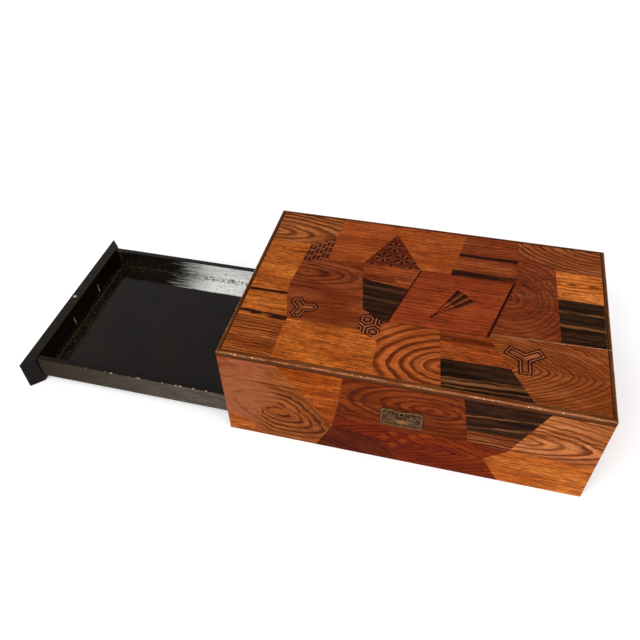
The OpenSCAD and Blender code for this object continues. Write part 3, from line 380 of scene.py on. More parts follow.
# Each row: a point in the tile, its wood, its seed and what sets its figure apart
TOP_TILES = (
    ((-161, 96), "brown", 1.3, dict(
        Heart_U=-206, Heart_V=86, Aspect=3.4, Power=1.7, Spacing=7.6, Base=(166, 96, 52),
        Glow=(146, 78, 38), Dark=(84, 38, 13), Band=0.65, Contrast=1.1)),
    ((-166, -11), "honey", 2.1, dict(
        Base=(192, 106, 44), Glow=(166, 84, 32),
        Streaks=((-24, 0.02, 2.6, 1.5), (-76, -0.05, 4.6, 1.4)))),
    ((-176, -101), "brown", 3.7, dict(
        Heart_V=-500, Aspect=30, Spacing=3.3, Contrast=1.2, Base=(160, 88, 42), Dark=(84, 34, 8),
        Fibre=0.6, Lines=0.7)),
    ((-91, -95), "honey", 4.9, dict(
        Pores=0.8, Base=(184, 98, 40), Glow=(162, 80, 30), Dark=(104, 46, 14))),
    ((-105, -14), "dark", 5.2, dict(
        Heart_U=-146, Heart_V=15, Aspect=3.4, Spacing=6.5, Contrast=0.7, Reach=34,
        Base=(132, 64, 34))),
    ((-90, 91), "honey", 6.4, dict(
        Base=(160, 76, 34), Glow=(140, 62, 26), Pores=0.3, Contrast=0.3, Dark=(100, 40, 14),
        Fibre=0.5)),
    ((-46, 31), "red", 7.7, dict(
        Base=(150, 72, 36), Glow=(100, 40, 18), Contrast=0.4, Mottle=0.4,
        marks=((-50, 21, 16, 5, 2, 0.6, (72, 30, 16)),))),
    ((-49, -15), "ebony", 8.1, dict(
        Streak=(100, 58, 37), Streaks=((0.5, -0.09, 2.6, 0.45), (-18.5, -0.09, 2.2, 0.5)))),
    ((32, -4), "red", 9.6, dict(
        Base=(154, 67, 33), Glow=(130, 52, 26), Mottle=0.3, Fibre=0.45, Lines=0.3, Fine=0.3,
        Streak=(40, 14, 8), Streaks=((-339, 3.757, 4.5, 3.0),))),
    ((-6, 93), "honey", 10.2, dict(
        Base=(172, 86, 38), Glow=(152, 70, 28), Dark=(100, 38, 10), Fibre=0.6)),
    ((77, 90), "red", 11.5, dict(
        Base=(150, 74, 36), Glow=(124, 54, 26), Streak=(44, 20, 12),
        Streaks=((88.5, 0.0, 3.4, 1.3), (53.5, 0.0, 5.0, 3.0)))),
    ((150, 108), "brown", 12.8, dict(
        Heart_U=205, Heart_V=143, Aspect=1.85, Spacing=6.0, Wave=2.2, Band=0.55,
        Base=(162, 92, 52), Glow=(138, 70, 34), Dark=(70, 24, 5), Contrast=0.95)),
    ((126, 20), "dark", 13.3, dict(
        Heart_U=98, Heart_V=22, Aspect=1.0, Spacing=6.4, Band=0.75, Contrast=0.65, Mottle=0.35,
        Fine=0.5, Base=(128, 60, 34), Glow=(114, 49, 25), Dark=(76, 30, 14))),
    ((178, 58), "honey", 14.6, dict(
        Base=(218, 126, 56), Glow=(192, 100, 38), Dark=(118, 48, 10), Contrast=0.7, Heart_U=172,
        Heart_V=61, Aspect=6, Spacing=5, marks=((170, 61, 4, 2.2, 2, 0.8, (70, 26, 8)),))),
    ((180, -2), "ebony", 15.9, dict(Streaks=((12.5, 0.0, 2.0, 0.8), (-12, 0.01, 2.4, 0.9)))),
    ((145, -85), "brown", 16.4, dict(
        Heart_U=92, Heart_V=-86, Aspect=2.1, Power=1.4, Spacing=3.6, Wave=2.6, Base=(154, 84, 43),
        Glow=(132, 64, 29), Dark=(80, 32, 9), Contrast=0.85)),
    ((60, -68), "honey", 17.2, dict(
        Base=(160, 76, 34), Glow=(142, 62, 26), Fibre=0.6, Streak=(80, 32, 13),
        Streaks=((-59, 0.02, 5.8, 0.9),))),
    ((76, -112), "ebony", 18.5, dict(
        Lines=0.4, Base=(25, 17, 12), Glow=(42, 27, 19),
        Streaks=((-117, 0.06, 1.0, 0.9), (-121, 0.05, 2.6, 0.85), (-127, 0.04, 1.2, 0.8)))),
    ((-5, -85), "brown", 19.8, dict(
        Heart_U=32, Heart_V=-101, Turn=-0.12, Aspect=1.5, Power=1.7, Spacing=9.5, Wave=2.2,
        Fine=0.7, Base=(168, 86, 41), Glow=(150, 72, 32), Dark=(86, 32, 9))),
)
FRONT_TILES = (
    ((-165, 50), "brown", 21.3, dict(
        Heart_U=-143, Heart_V=52, Turn=0.35, Aspect=1.7, Power=1.5, Spacing=8.5, Wave=5, Band=0.65,
        Contrast=1.2, Reach=56, Base=(152, 84, 42), Glow=(138, 70, 32), Dark=(82, 38, 14),
        # The broad pale streak in the Streak colour and the pale mark at -194, 76 are a painted
        # sheen on the front's left end.
        Fine=0.5, Streak=(148, 82, 52), Streaks=((830, 4.0, 130, 1.4),),
        marks=((-165, 101.3, 300, 0.7, 2, 0.9, (44, 20, 10)),
               (-194, 76, 52, 28, 2, 0.6, (152, 88, 54)),
               (-144, 53, 12, 6, 2, 0.9, (146, 78, 34))))),
    ((-193, 10), "honey", 22.6, dict(Base=(182, 98, 46))),
    ((-92, 95), "honey", 23.2, dict(
        Base=(176, 90, 36), Glow=(150, 68, 22), Dark=(92, 34, 6), Streaks=(FRONT_SEAM,))),
    ((-59, 22), "dark", 24.7, dict(
        Base=(104, 44, 17), Glow=(84, 31, 9), Dark=(44, 12, 3), Heart_V=-300, Aspect=30, Spacing=4,
        Turn=0.4, Contrast=0.5)),
    ((-1, 97), "dark", 25.1, dict(
        Heart_U=29, Heart_V=107, Aspect=2.6, Spacing=7, Base=(126, 58, 27), Glow=(108, 46, 17),
        Dark=(70, 25, 8), Wave=4, Streaks=(FRONT_SEAM,),
        # The near-black round mark at 0, 91.4 is painted shade seen through the keyhole.
        marks=((0, 91.4, 3.6, 3.6, 2, 1.0, (10, 6, 4)),))),
    ((28, 30), "dark", 26.4, dict(
        Heart_U=4, Heart_V=36, Aspect=2.7, Power=1.35, Spacing=5.5, Base=(128, 51, 17),
        Glow=(110, 40, 12), Dark=(72, 20, 5), Contrast=0.7, Wave=4,
        marks=[(u, v, 7, 6, 1, 0.55, (152, 66, 24)) for u, v in (
            (-7, 53), (-18, 42), (4, 42), (15, 53), (27, 60), (-7, 31))])),
    ((103, 111), "ebony", 27.9, dict(
        Base=(34, 22, 16), Glow=(50, 32, 22), Lines=0.4,
        Streaks=((104, 0.1, 1.6, 0.9), (82, 0.14, 2.0, 0.9)))),
    ((98, 74), "brown", 28.3, dict(
        Base=(142, 82, 48), Glow=(122, 64, 34), Heart_V=400, Aspect=30, Spacing=5,
        Streaks=((66, -0.03, 2.6, 0.85),))),
    ((163, 92), "brown", 29.6, dict(
        Heart_U=130, Heart_V=86, Aspect=3.2, Power=1.6, Base=(190, 116, 68), Glow=(164, 92, 48),
        Dark=(106, 50, 22), Contrast=0.95, Streaks=(FRONT_SEAM,))),
    ((150, 31), "honey", 30.2, dict(
        Base=(206, 118, 52), Glow=(180, 94, 38), Dark=(130, 52, 10), Contrast=0.5, Pores=0.5,
        Streaks=((53, -0.02, 1.2, 0.6), (36, 0.0, 1.0, 0.5)))),
)
BACK_TILES = (
    ((-160, 100), "honey", 31.4, {}),
    ((-68, 110), "red", 32.8, {}),
    ((22, 100), "brown", 33.1, dict(
        Heart_U=52, Heart_V=96, Aspect=2.6, Power=1.6, Wave=5, Contrast=0.8)),
    ((110, 105), "ebony", 34.5, dict(Streaks=((98, 0.0, 1.5, 0.7),))),
    ((175, 100), "honey", 35.9, dict(Base=(186, 102, 44))),
    ((-178, 38), "brown", 36.2, dict(Heart_U=-214, Heart_V=30, Aspect=2.5, Wave=5, Contrast=0.85)),
    ((-88, 50), "honey", 37.7, dict(Base=(162, 82, 36))),
    ((6, 36), "dark", 38.3, dict(
        Heart_U=-40, Heart_V=24, Aspect=2.6, Power=1.6, Spacing=6, Wave=5)),
    ((-98, 13), "ebony", 39.6, {}),
    ((150, 38), "red", 40.4, {}),
)
SIDE_TILES = (
    ((-90, 105), "honey", 41.2, {}),
    ((-2, 104), "red", 42.5, {}),
    ((98, 96), "honey", 43.9, dict(Base=(186, 102, 44))),
    ((-92, 35), "dark", 44.6, dict(Heart_U=-128, Heart_V=26, Aspect=2.4, Spacing=6.5, Wave=5)),
    ((-4, 52), "brown", 45.1, dict(
        Heart_U=24, Heart_V=50, Aspect=2.8, Power=1.5, Spacing=6, Wave=5, Contrast=0.85)),
    ((88, 30), "ebony", 46.8, {}),
    ((0, 14), "honey", 47.3, {}),
    ((122, 8), "brown", 48.7, dict(Heart_V=-200, Aspect=20)),
)


def loose_parts(mesh):
    """The mesh's polygons in groups that share places."""
    owner = list(range(len(mesh.vertices)))

    def root(i):
        while owner[i] != i:
            owner[i] = owner[owner[i]]
            i = owner[i]
        return i

    spots = {}
    for i, vertex in enumerate(mesh.vertices):
        owner[root(i)] = root(spots.setdefault(tuple(round(c, 5) for c in vertex.co), i))
    for polygon in mesh.polygons:
        first = polygon.vertices[0]
        for other in polygon.vertices[1:]:
            owner[root(other)] = root(first)
    groups = {}
    for polygon in mesh.polygons:
        groups.setdefault(root(polygon.vertices[0]), []).append(polygon)
    return groups.values()


def lay_woods(name, plane, woods):
    """Gives each loose tile of a node the wood whose point lies nearest to its middle."""
    mesh = nodes[name].data
    a, b = PLANES[plane]
    mesh.materials.clear()
    for _, material in woods:
        mesh.materials.append(material)
    for part in loose_parts(mesh):
        middle = sum((p.center * p.area for p in part), Vector()) / sum(p.area for p in part) / MM
        nearest = min(range(len(woods)),
                      key=lambda i: math.dist(woods[i][0], (middle[a], middle[b])))
        for polygon in part:
            polygon.material_index = nearest


def dress(material, *names):
    for name in names:
        mesh = nodes[name].data
        mesh.materials.clear()
        mesh.materials.append(material)


# A seam given here crosses every tile of its side as a last streak
for prefix, plane, rows, seam, skins in (
        ("top", "top", TOP_TILES, (), ("top_light_tiles", "top_brown_tiles", "top_ebony_tiles")),
        ("front", "front", FRONT_TILES, (), ("case_front_skin", "lid_front_skin")),
        ("back", "front", BACK_TILES, (BACK_SEAM,), ("case_back_skin", "lid_back_skin")),
        ("side", "side", SIDE_TILES, (SIDE_SEAM,),
         ("case_side_skins", "lid_side_skins", "drawer_front_skin"))):
    woods = []
    for i, (point, kind, seed, changes) in enumerate(rows):
        changes = dict(changes, Seed=seed, Streaks=changes.get("Streaks", ()) + seam)
        woods.append((point, wood(f"{prefix}_wood_{i + 1}", plane, kind, **changes)))
    for name in skins:
        lay_woods(name, plane, woods)


# Mouldings, carcass, lacquer and brass

def reopen(material):
    """The net and the colour of a finished material, to paint over it."""
    net = Net(material.node_tree)
    return net, net.surface["Base Color"].links[0].from_socket


def moulding_wood(name, plane, bead, base, glow, painted_light):
    """Painted light on the bead: a painted highlight on its crest, broken by noise and stronger
    towards the right, with pale specks there that are partly chips and partly painted glints;
    painted shade on its lower side, in its groove and at its foot; tan on its inner flat.
    """
    material = wood(name, plane, "dark", thick=True, Base=base, Glow=glow, Dark=(70, 32, 14),
                    Aspect=60, Heart_V=400, Spacing=2.4, Contrast=0.4, Seed=51.3)
    net, colour = reopen(material)
    axes = net.coordinates()
    along, across, z = axes[PLANES[plane][0]], net.size(axes[PLANES[plane][1]]), axes[2]
    out = net.minus(across, bead)
    angle = net.math("ARCTAN2", net.minus(z, BEAD_Z), out)
    wear = net.stretched((along, across, z), (0.05, 1.0, 1.0), 4, 0.6)
    # How strong the crest's painted highlight is along the moulding: broken by noise, stronger
    # towards the right.
    rubbed = net.plus(net.step(wear, 0.42, 0.62, 0.0, 0.8), net.step(along, -60, 190, 0.0, 0.35))
    crest = net.times(net.step(angle, 0.3, 0.65), net.step(angle, 1.25, 0.9))
    crest = net.times(crest, rubbed, clamp=True)
    # Painted shade in the groove and along the bead's foot.
    painted_shade = net.math("MAXIMUM", net.step(out, -1.2, -1.6), net.step(z, 137.4, 136.3))
    speck = net.noise(net.vec(along, across, z), 0.35)
    chip = net.times(net.step(angle, 0.3, 0.5), net.step(angle, 1.2, 0.9),
                     net.step(speck, 0.64, 0.69))
    # In turn: painted shade on the bead's lower side, the painted highlight on its crest, painted
    # shade in the groove and at the foot, the tan inner flat, pale chips and painted glints.
    for mask, tint in (
            (net.step(angle, 0.2, -0.1, 0.0, 0.8), (80, 42, 17)),
            (net.times(crest, painted_light), (182, 124, 86)),
            (net.times(painted_shade, 0.95), (46, 20, 7)),
            (net.step(out, -2.3, -2.5, 0.0, 0.7), (166, 104, 60)),
            (net.times(chip, 0.8), (222, 190, 168))):
        colour = net.mix(mask, colour, tint)
    if plane == "cross":
        # The joint that has opened across the top goes on over the right moulding
        joint = net.step(net.size(net.minus(along, OPEN_JOINT_Y)), 0.5, 0.2)
        joint = net.times(joint, net.step(axes[0], 0, 1, 0, 0.8))
        colour = net.mix(joint, colour, DUST)
    net.coat(colour)
    return material


# The last number sets how strong the crest's painted highlight is: full on the front and back,
# weaker on the sides.
dress(moulding_wood("moulding_wood_x", "top", bead=131.1, base=(122, 68, 36),
                    glow=(102, 52, 25), painted_light=1.0), "front_moulding", "back_moulding")
dress(moulding_wood("moulding_wood_y", "cross", bead=207.6, base=(98, 56, 31),
                    glow=(82, 43, 21), painted_light=0.6), "left_moulding", "right_moulding")

CARCASS = dict(
    Base=(158, 110, 70), Glow=(142, 94, 56), Dark=(100, 60, 32), Aspect=40, Heart_V=400,
    Spacing=2.6, Band=0.4, Contrast=0.55, Fibre=0.7, Pores=0.5, Lines=0.5, Mottle=0.3, Fine=0.5,
    Seed=61.0)
dress(wood("carcass_wood", "top", "brown", thick=True, **CARCASS),
      "bottom_board", "case_front_wall", "case_back_wall", "dust_board", "drawer_guides",
      "lid_board", "lid_front_skirt", "lid_back_skirt")
dress(wood("carcass_wood_cross", "cross", "brown", thick=True, **CARCASS),
      "case_left_wall", "case_right_wall", "lid_left_skirt", "lid_right_skirt")


def chipped_edge(net, x, y, z, colour):
    """Chips of pale ground along the top outer edge of the drawer's near side."""
    edge = net.times(net.step(y, -115.6, -116.2), net.step(z, 40.6, 41.1), net.step(z, 42.0, 41.8))
    chip = net.times(edge, net.step(net.streaks(x, y, 0.2, 0.05, 4.0, 3), 0.55, 0.62),
                     net.step(x, -450, -360))
    return net.mix(chip, colour, (188, 166, 130))


def scuffs(net, x, y, z):
    """Long marks along the drawer."""
    return net.stretched((x, y, z), (0.05, 0.4, 0.4), 3, 0.6)


def lacquer_painted_reflections(net, x, y, z, colour, gloss):
    """A painted highlight along the fillet and the foot of the wall, a flecked painted reflection
    beside them, and a pale painted reflection on the far wall and its mirror image in the floor.
    """
    point = net.vec(x, y, z)
    foot = net.plus(net.size(net.minus(y, WALL_FOOT[0])), net.size(net.minus(z, WALL_FOOT[1])))
    near = net.math("MINIMUM", net.size(net.minus(x, FILLET_X)), foot)
    # Painted highlight along the edge of the fillet and the foot of the far wall, and within 30 mm
    # of them a flecked painted reflection.
    seam = net.times(net.step(near, 0.9, 0.4),
                     net.step(net.streaks(x, y, 0.3, 0.3, 2.0, 3), 0.35, 0.6), 0.6)
    flecked_reflection = net.times(net.step(near, 30, 4), net.step(
        net.noise(point, 0.45, 4, 0.7), 0.53, 0.63, 0.0, 0.4))
    colour = net.mix(net.math("MAXIMUM", seam, flecked_reflection), colour, (94, 82, 56))

    # The pale painted reflection: where it lies along, across and below the rim, broken by dark
    # flecks
    brushed = net.stretched((x, y, z), (0.03, 0.5, 0.5), 3, 0.6)
    ragged = net.scaled(brushed, 120, -60)
    along = net.times(net.step(net.plus(x, ragged), -384, -312), net.step(x, -180, -200))
    across = net.times(net.step(y, 110.6, 110.1), net.step(
        net.scaled(ragged, 0.03, y), 81.2, 82.6))
    corner = net.size(net.minus(net.minus(y, z), 95))
    flecks = net.stretched((x, y, z), (0.3, 0.55, 0.55), 5, 0.7)
    left = net.step(flecks, net.step(corner, 0, 9, 0.55, 0.66),
                    net.step(corner, 0, 9, 0.49, 0.58))
    pale = net.times(along, left, across, net.step(z, 41.2, 40.6))
    reflection_white = net.mix(net.step(brushed, 0.35, 0.65), (252, 253, 250), (214, 217, 213))
    return net.mix(pale, colour, reflection_white), net.math("MAXIMUM", gloss, net.times(pale, 0.6))


def lacquer(name, specular=0.13, dull=False, painted_light=False):
    """Old black lacquer, glossy and dusty; dull along the rim, or with a painted highlight and
    painted reflections near the box.
    """
    material, net = shader(name, roughness=0.12, specular=specular)
    x, y, z = net.coordinates()
    point = net.vec(x, y, z)
    cloud = net.noise(point, 0.02, 4, 0.6)
    colour = net.mix(net.step(cloud, 0.3, 0.7), (14, 8, 5), (20, 13, 9))
    gloss = net.step(cloud, 0.2, 0.8, 0.1, 0.2)
    dust = net.step(net.noise(point, 1.4), 0.68, 0.76, 0.0, 0.2)
    colour = net.mix(dust, colour, (104, 92, 76))
    if dull:
        scuff = scuffs(net, x, y, z)
        rim = net.mix(net.step(scuff, 0.4, 0.6), (18, 12, 6), (34, 27, 17))
        colour = net.mix(net.step(z, *RIM_Z, 0.0, 0.8), colour, rim)
        colour = chipped_edge(net, x, y, z, colour)
    # Painted highlight and painted reflections, on the drawer's far side and bottom.
    if painted_light:
        colour, gloss = lacquer_painted_reflections(net, x, y, z, colour, gloss)
    net.coat(colour, gloss)
    net.relief(net.noise(point, 0.15, 3), 0.03)
    return material


def side_lacquer():
    """The outer faces of the drawer's sides, which never had the gloss."""
    material, net = shader("side_lacquer", roughness=0.5, specular=0.05)
    x, y, z = net.coordinates()
    scuff = scuffs(net, x, y, z)
    colour = net.mix(net.step(x, -480, -215), (44, 33, 20), (92, 83, 74))
    colour = net.mix(net.step(scuff, 0.35, 0.7, 0.0, 0.7), colour, (44, 35, 27))
    net.coat(chipped_edge(net, x, y, z, colour))
    net.relief(scuff, 0.05)
    return material


def face_with(name, material, wanted):
    """Gives the polygons of a node that pass a test one more material."""
    mesh = nodes[name].data
    mesh.materials.append(material)
    for polygon in mesh.polygons:
        if wanted(polygon):
            polygon.material_index = len(mesh.materials) - 1


lacquer_inside = lacquer("lacquered_wood", specular=0.08, dull=True)
dress(lacquer_inside, "drawer_front", "drawer_near_side", "drawer_back")
# The drawer's far side and bottom: lacquer with a painted highlight and painted reflections near
# the box.
dress(lacquer("lacquer_painted_reflections", specular=0.11, painted_light=True), "drawer_far_side", "drawer_bottom")
outer_lacquer = side_lacquer()
for name in ("drawer_near_side", "drawer_far_side"):
    face_with(name, outer_lacquer, lambda polygon: abs(polygon.center.y) > SIDE_OUT_Y * MM
              and abs(polygon.normal.y) > 0.9)


def writing_lacquer(name, middle, half):
    """Lacquer of a writing flap: brown where hands wore its edges, with a gold line round it."""
    material = lacquer(name)
    net, colour = reopen(material)
    x, y, z = net.coordinates()
    side = net.minus(FLAP_HALF_X, net.size(x))
    end = net.minus(half, net.size(net.minus(y, middle)))
    edge = net.math("MINIMUM", side, end)
    wear = net.stretched((x, y, z), (0.06, 0.06, 1.0), 4, 0.65)
    rubbed = net.times(net.step(edge, 7, 0), net.step(wear, 0.42, 0.6))
    colour = net.mix(rubbed, colour, (82, 44, 26))
    # The line lies 12 mm in and cuts across each corner
    corner = net.math("MINIMUM", net.minus(net.math("MAXIMUM", side, end), 20), 0)
    line = net.size(net.plus(net.minus(edge, 12), corner))
    line = net.times(net.step(line, 0.75, 0.5), net.step(wear, 0.66, 0.56, 0.25, 1.0))
    colour = net.mix(line, colour, (178, 134, 62))
    scratch = net.step(net.streaks(x, net.scaled(x, 0.3, y), 0.012, 0.7, 5.0),
                       0.64, 0.7, 0.0, 0.16)
    net.coat(net.mix(scratch, colour, (120, 104, 84)))
    return material


slope_lacquer = lacquer("slope_lacquer")
dress(slope_lacquer, "pen_rail", "pen_dividers", "pen_tray_ledges", "pen_tray",
      "case_flap_ledges", "case_hinge_rail", "lid_flap_ledges", "lid_hinge_rail")
dress(writing_lacquer("case_flap_lacquer", middle=19.95, half=83.4), "case_flap")
dress(writing_lacquer("lid_flap_lacquer", middle=-7.15, half=111.65), "lid_flap")

# The lacquer laps over the edges of the marquetry on the drawer's front
face_with("drawer_front_skin", lacquer_inside, lambda polygon: abs(polygon.normal.x) < 0.95)


def brass(name, base, bright, metallic=0.75, rubbed=False):
    """Stained old brass; on the lock plate it is rubbed bright under the keyhole."""
    material, net = shader(name, roughness=0.42, metallic=metallic, specular=0.05)
    x, y, z = net.coordinates()
    point = net.vec(x, y, z)
    stain = net.noise(point, 0.35, 4, 0.6)
    colour = net.mix(net.step(stain, 0.35, 0.65), base, bright)
    if rubbed:
        # An oval 18 by 7 mm round x 0.9 and z 78.9
        spot = net.vec(net.scaled(x, 0.11, -0.1), 0.0, net.scaled(z, 0.28, -22.1))
        far = net.add("VectorMath", {0: spot}, operation="LENGTH").outputs["Value"]
        far = net.plus(far, net.scaled(stain, 1.2, -0.6))
        colour = net.mix(net.step(far, 1.35, 0.1, 0.0, 0.7), colour, (168, 114, 62))
    net.coat(colour, net.step(stain, 0.3, 0.7, 0.55, 0.38))
    net.relief(net.noise(point, 1.5, 3), 0.06)
    return material


antique = brass("brass", (104, 86, 62), (158, 136, 98))
dress(antique, "lock_body", "case_hinge_leaves", "hinge_pins", "case_hinge_screws",
      "case_flap_fixed_leaves", "hook_plate", "lid_hinge_leaves", "lid_hinge_screws",
      "lid_flap_fixed_leaves", "case_flap_moving_leaves", "lid_flap_moving_leaves",
      "lock_bolt", "drawer_pin", "bail_handle")
dress(brass("rubbed_brass", (176, 158, 122), (222, 210, 180), metallic=0.4),
      "drawer_bush", "handle_posts")
dress(brass("brass_ground", (44, 24, 10), (82, 50, 23), metallic=0.1, rubbed=True),
      "lock_plate")
relief_brass = brass("brass_relief", (88, 62, 40), (134, 102, 70), metallic=0.4, rubbed=True)
dress(relief_brass, "lock_plate_pins")


# Pieces finer than the CAD's

def turned(points, angle, middle=(0, 0)):
    """Points turned by degrees round the origin, then moved to a middle."""
    c, s = math.cos(math.radians(angle)), math.sin(math.radians(angle))
    return [(middle[0] + c * x - s * y, middle[1] + s * x + c * y) for x, y in points]


def polar(radius, angle, middle=(0, 0), off=0.0):
    """The point at a radius on a ray from a middle, moved off the ray sideways."""
    return turned([(radius, off)], angle, middle)[0]


def place(name, data):
    made = bpy.data.objects.new(name, data)
    bpy.context.scene.collection.objects.link(made)
    return made


def tube(bm, sections, closed=False):
    """Skins the loops of points one after another, and caps the ends if it isn't closed."""
    loops = [[bm.verts.new([c * MM for c in point]) for point in section]
             for section in sections]
    faces = []
    for one, two in zip(loops, loops[1:] + (loops[:1] if closed else [])):
        for k in range(len(one)):
            j = (k + 1) % len(one)
            faces.append(bm.faces.new((one[k], one[j], two[j], two[k])))
    if not closed:
        faces += [bm.faces.new(loops[0][::-1]), bm.faces.new(loops[-1])]
    return faces


def built(bm, mesh):
    """Fills a mesh from its bmesh and places it under the mesh's name."""
    bmesh.ops.recalc_face_normals(bm, faces=bm.faces)
    bm.to_mesh(mesh)
    bm.free()
    return place(mesh.name, mesh)


def scrollwork():
    """The lock plate's raised pattern: a rim, two ringed leaves, small curls and a key ring."""
    mesh = bpy.data.meshes.new("lock_plate_scrolls")
    mesh.materials.append(relief_brass)
    bm = bmesh.new()

    def wire(path, radius, closed=False):
        """A half-sunk wire along a path of x, z points on the plate's face."""
        sections = []
        for i, (x, z) in enumerate(path):
            a = path[i - 1] if closed or i else path[0]
            b = path[(i + 1) % len(path)] if closed or i < len(path) - 1 else path[-1]
            length = math.dist(a, b)
            nx, nz = -(b[1] - a[1]) / length, (b[0] - a[0]) / length
            sections.append([(x + nx * side, PLATE_FACE_Y - 0.6 * up, z + nz * side)
                             for side, up in (polar(radius, 45 * k) for k in range(8))])
        tube(bm, sections, closed)

    def arc(x, z, r0, r1, a0, a1, n=24):
        """Points round x, z from angle a0 to a1, while the radius goes from r0 to r1."""
        return [polar(r0 + (r1 - r0) * i / n, a0 + (a1 - a0) * i / n, (x, z))
                for i in range(n + 1)]

    rim = []
    for x, z, radius, start, end, count in (
            (-19.4, 73.9, 3, 180, 270, 6), (19.4, 73.9, 3, 270, 360, 6),
            (19.0, 93.6, 3.4, 0, 80, 6), (10.8, 94.0, 3.6, 60, 150, 8),
            (0, 98.4, 4.0, -35, -145, 8), (-10.8, 94.0, 3.6, 30, 120, 8),
            (-19.0, 93.6, 3.4, 100, 180, 6)):
        rim += arc(x, z, radius, radius, start, end, count)
    wire(rim, 0.75, closed=True)
    for side in (-1, 1):
        x, z = 11 * side, 84
        wire(arc(x, z, 4.6, 4.6, 0, 345, 28), 0.6)
        wire(arc(x, z, 3.0, 0.5, 90, 90 + 460 * side, 30), 0.5)
        wire(arc(x + 7.0 * side, z + 5.5, 2.2, 0.4, 180, 180 + 400 * side), 0.42)
        wire(arc(x + 7.2 * side, z - 6.6, 2.0, 1.9, 60, 400, 22), 0.45)
        wire(arc(x - 5.4 * side, z - 7.5, 3.4, 1.2, 180 - 90 * side, 180 - 300 * side), 0.45)
        wire(arc(x + 2.5 * side, z + 1.5, 7.6, 7.0, 90 - 10 * side, 90 - 85 * side, 16), 0.42)
        wire(arc(x - 2.0 * side, z - 1.2, 7.2, 8.0, 270 - 5 * side, 270 + 60 * side, 16), 0.42)
    wire(arc(0, 91.2, 2.9, 2.9, 0, 345, 22), 0.5)
    for angle in (-35, 0, 35):
        wide, high = polar(1.0, 90 - angle)
        wire([(angle / 70, 74.5), (4.4 * wide, 74.5 + 4.6 * high)], 0.8)
    for face in bm.faces:
        face.smooth = True
    made = built(bm, mesh)
    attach(made, "case")


scrollwork()

# The top's inlaid patterns: flat pieces glued side by side, flush with the tiles

INLAY_WOODS = {  # base, glow and dark of each
    "dark": ((62, 23, 10), (48, 16, 8), (30, 10, 5)),
    "light": ((164, 98, 68), (148, 84, 54), (112, 56, 32)),
    "brown": ((130, 72, 42), (112, 58, 30), (76, 34, 16)),
    "pink": ((162, 88, 56), (146, 74, 44), (104, 46, 22)),
    "ground": ((106, 46, 27), (92, 37, 19), (60, 20, 9)),
    "slot": ((80, 30, 14), (66, 22, 10), (40, 12, 6)),
    "line": ((154, 92, 60), (136, 76, 46), (100, 50, 28)),
}
inlay_names = list(INLAY_WOODS)
GLUE = 0.05  # half the gap between two pieces


def meet(p, u, q, v):
    """The point where the line from p along u crosses the line from q along v."""
    along = ((q[0] - p[0]) * v[1] - (q[1] - p[1]) * v[0]) / (u[0] * v[1] - u[1] * v[0])
    return (p[0] + along * u[0], p[1] + along * u[1])


def edges(points):
    """Each point of an outline with the next one."""
    return zip(points, points[1:] + points[:1])


def area(points):
    return sum(a[0] * b[1] - a[1] * b[0] for a, b in edges(points)) / 2


def tidy(points):
    """The outline without repeated points and points halfway along a straight edge."""
    kept = [p for p, q in edges(points) if math.dist(p, q) > 0.02]
    return [p for o, p, q in zip(kept[-1:] + kept[:-1], kept, kept[1:] + kept[:1])
            if abs(area([o, p, q])) > 0.002 * math.dist(o, q)]


def inset(points, depth):
    """An anticlockwise outline with each edge moved inwards."""
    lines = []
    for a, b in edges(points):
        length = math.dist(a, b)
        u = ((b[0] - a[0]) / length, (b[1] - a[1]) / length)
        lines.append(((a[0] - u[1] * depth, a[1] + u[0] * depth), u))
    return [meet(*before, *after) for before, after in zip(lines[-1:] + lines[:-1], lines)]


def clip(points, window):
    """The part of a convex outline that lies in a convex window, both anticlockwise."""
    for a, b in edges(window):
        kept = []
        for p, q in edges(points):
            inside, next_inside = area([a, b, p]) >= 0, area([a, b, q]) >= 0
            if inside:
                kept.append(p)
            if inside != next_inside:
                kept.append(meet(a, (b[0] - a[0], b[1] - a[1]), p, (q[0] - p[0], q[1] - p[1])))
        points = kept
        if len(points) < 3:
            return []
    return points


def strips(wood_name, outer, inner):
    """Mitred strips between two outlines with as many corners."""
    return [(wood_name, [a, b, d, c]) for (a, b), (c, d) in zip(edges(outer), edges(inner))]


def rings(outline, steps):
    """Strips round an outline, one inside another: each one's wood and how deep it ends."""
    pieces = []
    depth = 0
    for wood_name, end in steps:
        pieces += strips(wood_name, inset(outline, depth), inset(outline, end))
        depth = end
    return pieces


def three_arms(middle, turn, length, point):
    """The figure with three arms: strips round it and a core mitred at the middle."""
    half = 7.4
    outline = []
    for k in range(3):
        arm = [(length, -half)] + [(length + point, 0)] * (point > 0) + [
            (length, half), (half / math.tan(math.radians(60)), half)]
        outline += turned(arm, 120 * k)
    pieces = rings(outline, (("dark", 1.9), ("light", 3.1), ("dark", 5.0)))
    core = inset(outline, 5.0)
    size = len(core) // 3
    for k in range(3):
        arm = core[k * size:(k + 1) * size]
        pieces.append(("pink" if k == 0 else "brown", [(0, 0), core[k * size - 1]] + arm))
    return [(wood_name, turned(piece, turn, middle)) for wood_name, piece in pieces]


def tortoiseshell():
    """Nested hexagons side by side."""
    pieces = []
    for i in range(-2, 3):
        for j in range(-2, 4):
            middle = (-56.4 + 20 * i + 9.2 * j, -49.5 - 0.9 * i - 17.8 * j)
            outline = [polar(11.55, 60 * k + 27.4, middle) for k in range(6)]
            pieces += rings(outline, (("light", 0.9), ("dark", 3.4), ("light", 4.8),
                                      ("dark", 6.9)))
            pieces.append(("brown", inset(outline, 6.9)))
    return pieces


